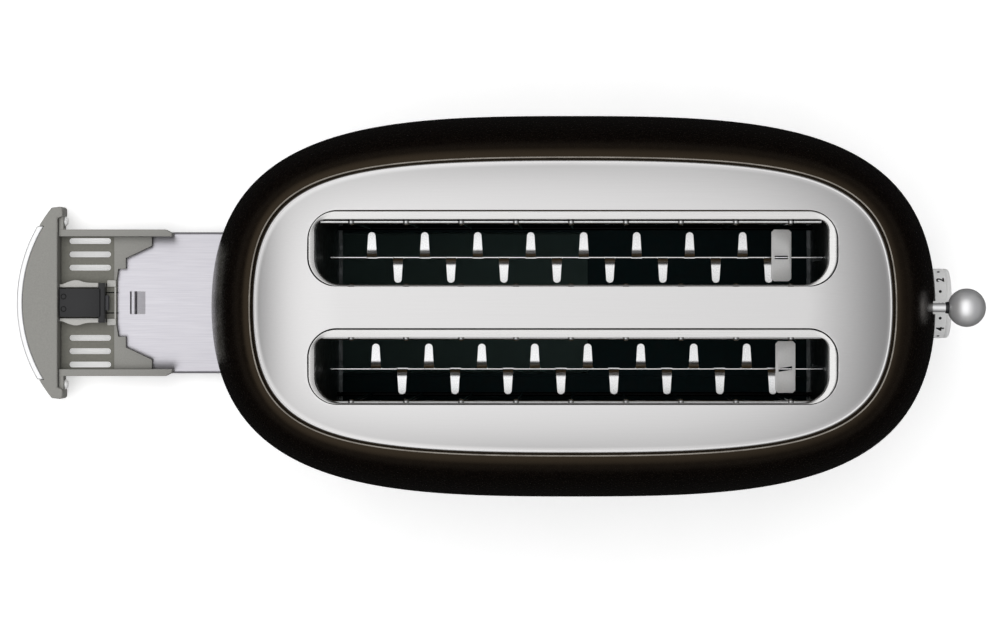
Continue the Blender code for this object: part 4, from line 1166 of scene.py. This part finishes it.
def makeFascia():
    v = fasciaValues
    low, high = fasciaLow, fasciaHigh
    outerRadius = v["radius"] - v["trimSheet"] - 0.0003
    back = high.x - v["lobeDepth"]
    reach = v["halfWidth"]
    start, stop = trayY + reach - v["lobeLength"], trayY + reach
    # The north end: its lobe from the inside to the outer corner.
    end = [(back, start), (high.x - 0.0008, start + 0.0006), (high.x, start + 0.0014),
           (high.x, stop - 0.0012), (high.x - 0.0012, stop)]
    outline = fasciaArc(outerRadius, reach - 0.0006) + end[::-1] + mirrored(end, trayY)
    fascia = addPiece("trayFascia", slab(outline, low.z, high.z, v["edgeRound"], 3), greyAbs,
                      "tray", ("tray_fascia",))
    wall, wide = v["wall"], v["pocketHalfWidth"]
    pocket = fasciaArc(outerRadius - wall, wide)
    pocket += [(back - wall, trayY + wide), (back - wall, trayY - wide)]
    holes = [slab(pocket, low.z - clear, high.z - wall)]
    for name in screwNames:
        holes.append(turned([(back - 0.009, v["screwHole"]), (high.x + 0.001, v["screwHole"])],
                            axisOf(name), sides=24))
    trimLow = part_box("tray_trim")[0].z
    outer = v["radius"] - v["trimInset"]
    half = v["trimHalfWidth"]

    def band(room, more, less):
        back = fasciaArc(outer - v["trimWidth"] - less, half + room)
        return fasciaArc(outer + more, half + room) + back[::-1]

    holes.append(slab(band(0.0002, clear, 0.0001), trimLow - 0.0001, high.z + clear))
    cutOut(fascia, *holes)
    addPiece("trayTrim", slab(band(0, 0, 0), trimLow, high.z + v["trimRise"], v["trimRound"], 5),
             metallised, "tray", ("tray_trim",))


makeFascia()
print("stage: tray fascia is made")

carrierValues = {
    "halfWidth": 0.0422, "rail": 0.0040, "railFrontX": -0.2317, "outerStepX": -0.2441,
    "innerStepX": -0.2592, "lipX": -0.2636, "throatX": -0.2645, "raisedX": -0.2660,
    "stepShares": (0.905, 0.780, 0.611, 0.464, 0.308), "floorZ": 0.0095, "floor": 0.002,
    "raisedZ": 0.0130, "railTopZ": 0.020, "ventRearX": -0.2923, "ventFrontX": -0.2680, "vents": 3,
    "ventWidth": 0.0033, "ventShares": (0.481, 0.846), "earHalfWidth": 0.0505, "earSheet": 0.0026,
    "latchHalfWidth": 0.0081, "ribWall": 0.0026, "ribTopZ": 0.018, "edgeRound": 0.0004,
    "cheek": (0.0092, 0.0130),
}


def combined(tree, operation, parts, first=None):
    # One solid made of others with the exact solver.
    solid = addNode(tree, "GeometryNodeMeshBoolean", {"operation": operation, "solver": "EXACT"},
                    {"Mesh 1": first} if first else {})
    for part in parts:
        tree.links.new(part, solid.inputs["Mesh 2"])
    return solid.outputs[0]


def cubeOf(tree, size):
    return addNode(tree, "GeometryNodeMeshCube", {}, {"Size": size}).outputs[0]


def ventTree():
    # Round-ended slots in a row beside each other, used as the tool that cuts them.
    tree, given = newTree("tray slots", first=vectorIn, step=vectorIn, vents=intIn, length=floatIn,
                          ventWidth=floatIn, depth=floatIn)
    width, depth = given["ventWidth"], given["depth"]
    length = mathOf(tree, "SUBTRACT", given["length"], width)
    middle = cubeOf(tree, vectorOf(tree, length, width, depth))
    end = addNode(tree, "GeometryNodeMeshCylinder", {}, {
        "Vertices": 24, "Radius": mathOf(tree, "MULTIPLY", width, 0.5), "Depth": depth}).outputs[0]
    ends = [moved(tree, end, Translation=vectorOf(tree, mathOf(tree, "MULTIPLY", length, share)))
            for share in (-0.5, 0.5)]
    solid = combined(tree, "UNION", (middle, *ends))
    places = rowOfPoints(tree, given["vents"], given["first"], given["step"])
    return endTree(tree, placedOn(tree, places, solid), shadedFloorAbs)


def ventCutter(tree, sideShare):
    # One side's row of slots as a cutting shape.
    v = carrierValues
    nearest, farthest = (v["halfWidth"] * share for share in v["ventShares"])
    step = (farthest - nearest) / (v["vents"] - 1)
    middle = middleX + (v["ventRearX"] + v["ventFrontX"]) / 2
    first = (middle, trayY + sideShare * nearest, v["floorZ"])
    return shapeOf(grownObject("cutter", tree, {
        **v, "first": first, "step": (0, sideShare * step, 0),
        "length": v["ventFrontX"] - v["ventRearX"], "depth": 0.02}))


def makeCarrier():
    v = carrierValues
    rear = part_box("tray_carrier")[0].x
    edge, wide, rail, raised = v["edgeRound"], v["halfWidth"], v["rail"], v["raisedZ"]
    floorTop = v["floorZ"] + v["floor"]
    a, b, c, d, e = (wide * share for share in v["stepShares"])
    steps = [(middleX + v[key], y) for key, y in (
        ("outerStepX", a), ("outerStepX", b), ("innerStepX", c), ("innerStepX", d), ("lipX", d),
        ("throatX", e))]
    railFront = middleX + v["railFrontX"]
    throat = middleX + v["throatX"] - 0.0004
    bend = [(railFront - 0.004, wide), (railFront, wide - rail * 0.55), (railFront, wide - rail)]
    half = [(x, trayY + y) for x, y in [(rear, wide)] + bend + steps]
    floor = slab(half + mirrored(half, trayY)[::-1], v["floorZ"], floorTop)
    # The floor takes the darker grey, as painted shade of the recess.
    carrier = addPiece("trayCarrier", floor, shadedFloorAbs, "tray", ("tray_carrier",))
    tree = ventTree()
    cutOut(carrier, *(ventCutter(tree, sideShare) for sideShare in (-1, 1)))
    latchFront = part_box("latch_body")[1].x
    ribFront = latchFront - 0.0040
    ribBase = v["latchHalfWidth"] + 0.0008
    rib = []
    for step in range(25):  # the latch pocket's walls bulge in the middle
        share = step / 24
        bulge = 0.0016 * math.exp(-((share - 0.42) / 0.2) ** 2)
        dip = 0.0009 * math.exp(-((share - 0.05) / 0.1) ** 2)
        rib.append((mix(rear, ribFront, share), ribBase + v["ribWall"] + bulge - dip))
    rib += [(ribFront, ribBase), (rear, ribBase)]
    raisedX = middleX + v["raisedX"]
    taper = [(rear, wide - rail)] + bend[::-1] + [(rear, wide)]
    zone = [(raisedX, wide - rail)] + steps + [(raisedX, e)]

    def wall(side, outline, top):
        return slab([(x, trayY + side * y) for x, y in outline], floorTop, top, edge, 2)

    def bar(side, ends, reaches, low, high):
        south, north = sorted(trayY + side * reach for reach in reaches)
        return block((ends[0], south, low), (ends[1], north, high), edge, 2)

    walls, pocket = [], []
    for side in (-1, 1):
        walls += [wall(side, taper, v["railTopZ"]), wall(side, zone, raised),
                  bar(side, (rear, rear + v["earSheet"]), (wide - 0.0003, v["earHalfWidth"]),
                      v["floorZ"] + 0.0006, v["railTopZ"] - 0.0003)]
        pocket += [wall(side, rib, v["ribTopZ"]),
                   bar(side, (latchFront + 0.0003, throat), v["cheek"], floorTop, raised)]
    cheek = v["cheek"][0]
    pocket.append(bar(1, (throat - 0.001, throat), (-cheek, cheek), floorTop, raised - 0.0004))
    addPiece("carrierWalls", together(*walls), greyAbs, "tray")
    addPiece("latchPocket", together(*pocket), paleAbs, "tray")


screwValues = {"headRadius": 0.0028, "headHeight": 0.0020, "shankRadius": 0.0015,
               "shankLength": 0.008, "recess": 0.0012, "recessWidth": 0.0007}


def screwTree():
    # A pan head screw with a cross recess, its axis along X and its seat at the origin.
    tree, given = newTree("pan head screw", seats=objectIn, **{key: floatIn for key in screwValues})
    height, radius = given["headHeight"], given["headRadius"]
    sphere = addNode(tree, "GeometryNodeMeshUVSphere", {}, {
        "Segments": 40, "Rings": 24, "Radius": radius})
    flat = vectorOf(tree, mathOf(tree, "DIVIDE", height, radius), 1.0, 1.0)
    dome = moved(tree, sphere.outputs[0], Scale=flat)
    lower = moved(tree, cubeOf(tree, (0.02, 0.02, 0.02)), Translation=(-0.01, 0, 0))
    blade = cubeOf(tree, vectorOf(tree, given["recess"], given["recessWidth"], radius))
    cross = [moved(tree, part, Translation=vectorOf(tree, height))
             for part in (blade, moved(tree, blade, Rotation=(math.pi / 2, 0, 0)))]
    head = combined(tree, "DIFFERENCE", (lower, *cross), dome)
    shankEnd = vectorOf(tree, mathOf(tree, "MULTIPLY", given["shankLength"], -1.0))
    shank = roundBar(tree, shankEnd, (0.0002, 0, 0), given["shankRadius"], 16)
    askew = (0.5, 0, 0)  # both crosses stand at a slant
    screw = joined(tree, (head, shank))
    return endTree(tree, placedOn(tree, fromObject(tree, given["seats"]), screw, askew),
                   silverLacquer)


def makeScrews():
    v = screwValues
    places = [(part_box(name)[1].x - v["headHeight"], *axisOf(name)[1:]) for name in screwNames]
    seats = helperObject("seats", places)
    grown("trayScrews", screwTree(), {**v, "seats": seats}, "tray", screwNames)
    bpy.data.objects.remove(seats, do_unlink=True)


makeCarrier()
makeScrews()
print("stage: tray carrier and screws are made")

sheetValues = {
    "sheet": 0.0006, "halfWidth": 0.0406, "edge": 0.0004, "louvreX": -0.2538,
    "louvreLength": 0.0053, "louvreHalf": 0.0066, "hoodHalf": 0.0021, "hoodRise": 0.0013,
    "tongueRise": 0.0010, "beadFromEdge": 0.0012, "beadWidth": 0.0008, "beadDepth": 0.00012,
}


def makeTraySheet():
    v = sheetValues
    low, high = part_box("tray_sheet")
    middleY = middleOf("tray_sheet").y
    half, edge = v["halfWidth"], v["edge"]
    profile = [(-half, 0), (-half + edge, edge)]
    bead = -half + v["beadFromEdge"]  # a shallow pressed line beside each edge
    for offset, drop in ((-0.5, 0), (-0.25, 0.7), (0, 1), (0.25, 0.7), (0.5, 0)):
        profile.append((bead + offset * v["beadWidth"], -drop * v["beadDepth"]))
    profile += [(-y, z) for y, z in reversed(profile)]
    top = high.z - 0.0004
    shape = stripOf([[(x, middleY + y, top + z) for y, z in profile]
                     for x in (low.x, low.x + 0.001, high.x - 0.001, high.x)])
    sheet = addPiece("traySheet", shape, traySteel, "tray", ("tray_sheet",))
    modified(sheet, "SOLIDIFY", thickness=v["sheet"], offset=0)
    louvreX, length = middleX + v["louvreX"], v["louvreLength"]
    south, north = middleY - v["louvreHalf"], middleY + v["louvreHalf"]
    cutOut(sheet, block((louvreX, south, low.z - clear), (louvreX + length, north, high.z + clear)))
    hood = []
    for step in range(9):  # a raised hood of the sheet beside the slot that it was cut from
        angle = math.pi * step / 8
        hood.append((louvreX - 0.0016 + v["hoodHalf"] * math.cos(angle),
                     top + v["hoodRise"] * math.sin(angle)))
    hood += [(x, z - v["sheet"]) for x, z in reversed(hood)]
    tongue = [(louvreX + length - 0.0001, top), (louvreX + 0.0009, top + v["tongueRise"])]
    tongue += [(x, z - 0.0005) for x, z in reversed(tongue)]
    louvre = together(upright(hood, south, north), upright(tongue, south + 0.0002, north - 0.0002))
    addPiece("trayLouvre", louvre, traySteel, "tray")


makeTraySheet()
print("stage: tray sheet is made")

latchValues = {
    "halfWidth": 0.0081, "flange": 0.0037, "flangeTopZ": 0.0200, "edge": 0.0004, "room": 0.0003,
    "slope": 0.0016, "markX": 0.0024, "markY": 0.0036, "ringRadius": 0.0014, "ringTube": 0.00025,
    "armY": 0.0059, "armZ": 0.0118, "armLength": 0.0066, "wireRadius": 0.0003,
}


def makeLatch():
    v = latchValues
    low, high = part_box("latch_body")
    tongueLow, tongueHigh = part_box("latch_tongue")
    middleY = middleOf("latch_body").y
    flangeX = high.x - v["flange"]
    half, edge, room = v["halfWidth"], v["edge"], v["room"]
    for name, a, b, replaced in (
            ("latchBody", (low.x, middleY - half, low.z),
             (flangeX + 0.001, middleY + half, high.z), ("latch_body",)),
            ("latchFlange", (flangeX, low.y, low.z), (high.x, high.y, v["flangeTopZ"]), ())):
        piece = addPiece(name, block(a, b, edge), blackAbs, "tray", replaced)
        cutOut(piece, block((tongueLow.x - 0.0028, tongueLow.y - room, tongueLow.z - room),
                            (high.x + clear, tongueHigh.y + room, tongueHigh.z + room)))
    (rear, bottom), (front, top), slope = tongueLow.xz, tongueHigh.xz, v["slope"]
    wedge = [(rear, bottom), (front - slope, bottom), (front, bottom + slope),
             (front, top - edge), (front - edge, top), (rear, top)]
    tongue = upright(wedge, tongueLow.y, tongueHigh.y)
    soften(tongue, 0.0002)
    addPiece("latchTongue", tongue, charcoalNylon, "latch", ("latch_tongue",))
    ring, tube = [], v["ringTube"]
    for step in range(8):
        angle = 2 * math.pi * step / 8
        ring.append((high.z + tube * math.sin(angle), v["ringRadius"] + tube * math.cos(angle)))
    start, end, wire = high.x - 0.0002, high.x + v["armLength"], v["wireRadius"]
    arm = [(start, 0), (start, wire), (end - 0.0004, wire), (end, wire * 0.5), (end, 0)]
    marks, arms = [], []
    for side in (-1, 1):  # two moulded pin marks on the cover, and the spring's arms beside it
        centre = (low.x + v["markX"], middleY + side * v["markY"], 0)
        marks.append(turned(ring, centre, "Z", 32, True))
        arms.append(turned(arm, (0, middleY + side * v["armY"], v["armZ"]), sides=12))
    addPiece("latchMarks", together(*marks), ink, "tray")
    # The spring's arms lie low, so the wire's painted shade makes them dark all over.
    addPiece("latchSpringArms", together(*arms), slotShadedWire, "tray")


makeLatch()
print("stage: tray latch is made")


def dressFrame():
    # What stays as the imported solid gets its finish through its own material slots.
    finishes = (
        (zincSheet, ["chassis_frame", "carriage_plate", "magnet_keeper", "tray_catch"]
         + [f"{end}_bulkhead" for end in endNames] + [f"side_panel_{side}" for side in sideNames]),
        (mica, [f"heater_{plane}_{end}" for plane in planeNames for end in endNames]),
        (wireSteel, ["browning_shaft"] + [f"{kind}_{side}" for kind in ("guide_rod", "lift_spring")
                                          for side in sideNames]),
        (shadedCoverSheet, ["base_cover"]), (blackAbs, ["hold_magnet"]),
        (charcoalNylon, ["browning_control"]), (laminate, ["control_board"]),
    )
    for material, names in finishes:
        for name in names:
            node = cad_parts[name]
            if not node.material_slots:
                node.data.materials.append(material)
            for slot in node.material_slots:
                slot.material = material


dressFrame()
print("stage: packed parts have their finishes")

studioValues = {
    "tableColour": "F4F4F4", "tableGlow": 0.40, "tableHalf": 4, "canopyStrength": 1.26,
    "lowest": -0.25,
    "canopySteps": ((0.0, "000000"), (0.54, "000000"), (0.60, "3A3A3A"), (0.656, "8A8A8A"),
                    (0.744, "CACACA"), (0.824, "E2E2E2"), (0.888, "F6F6F6"), (0.94, "FFFFFF")),
    "wallSteps": ((0.0, "161616"), (0.12, "262626"), (0.20, "4E4E4E"), (0.44, "767676"),
                  (0.60, "5C5C5C"), (0.72, "282828"), (0.85, "000000")),
    "lengthSteps": ((0.0, "101010"), (0.12, "3C3C3C"), (0.18, "ACACAC"), (0.23, "FAFAFA"),
                    (0.49, "FFFFFF"), (0.55, "CECECE"), (0.70, "B8B8B8"), (0.77, "9A9A9A"),
                    (0.82, "8A8A8A"), (0.89, "ACACAC"), (1.0, "6A6A6A")),
    "softboxLevel": 1.5, "softboxSize": 3.0, "softboxPlace": (-0.3, 0.3, 2.6),
}


def makeStudio():
    v = studioValues
    scene = bpy.context.scene
    scene.view_settings.view_transform = "Standard"  # keeps the table white, as on the photograph
    scene.world = bpy.data.worlds.new("studio")
    scene.world.use_nodes = True
    tree = scene.world.node_tree
    # A wide white canopy, dimmer towards the knob's end, over grey walls: metal and enamel
    # mirror them, so flat tops are bright and steep sides dark.
    direction = addNode(tree, "ShaderNodeTexCoord")
    parts = addNode(tree, "ShaderNodeSeparateXYZ", {}, {"Vector": direction.outputs["Generated"]})
    length = ranged(tree, parts.outputs["X"], From_Min=-1.0)
    height = ranged(tree, parts.outputs["Z"], From_Min=v["lowest"])
    canopy = addNode(tree, "ShaderNodeVectorMath", {"operation": "MULTIPLY_ADD"}, {
        0: colourSteps(tree, height, v["canopySteps"]),
        1: colourSteps(tree, length, v["lengthSteps"]),
        2: colourSteps(tree, height, v["wallSteps"])})
    background = tree.nodes["Background"]
    tree.links.new(canopy.outputs["Vector"], background.inputs["Color"])
    background.inputs["Strength"].default_value = v["canopyStrength"]
    # A light table of opal acrylic: matte, and lit from below, so shadows stay faint.
    opal = varied("opal acrylic light table", twoTones(v["tableColour"], "F6F6F6"), (0.85, 0.95),
                  30, 2, 0.00001, Specular_IOR_Level=0.1, Emission_Strength=v["tableGlow"],
                  Emission_Color=hexColour(v["tableColour"]))
    half = v["tableHalf"]
    corners = ((-half, -half, 0), (half, -half, 0), (half, half, 0), (-half, half, 0))
    table = helperObject("lightTable", corners, faces=[(0, 1, 2, 3)])
    table.data.materials.append(opal)
    table.visible_glossy = False  # the polished sides mirror the canopy and not the table
    data = bpy.data.lights.new("softbox", "AREA")
    size = v["softboxSize"]
    # The level is the brightness of its face.
    setAll(data, size=size, energy=v["softboxLevel"] * math.pi * size ** 2)
    softbox = addObject("softbox", data)
    softbox.location = v["softboxPlace"]
    softbox.visible_glossy = False  # it lights dull surfaces, and the canopy the polished ones


makeStudio()
print("stage: studio is set")
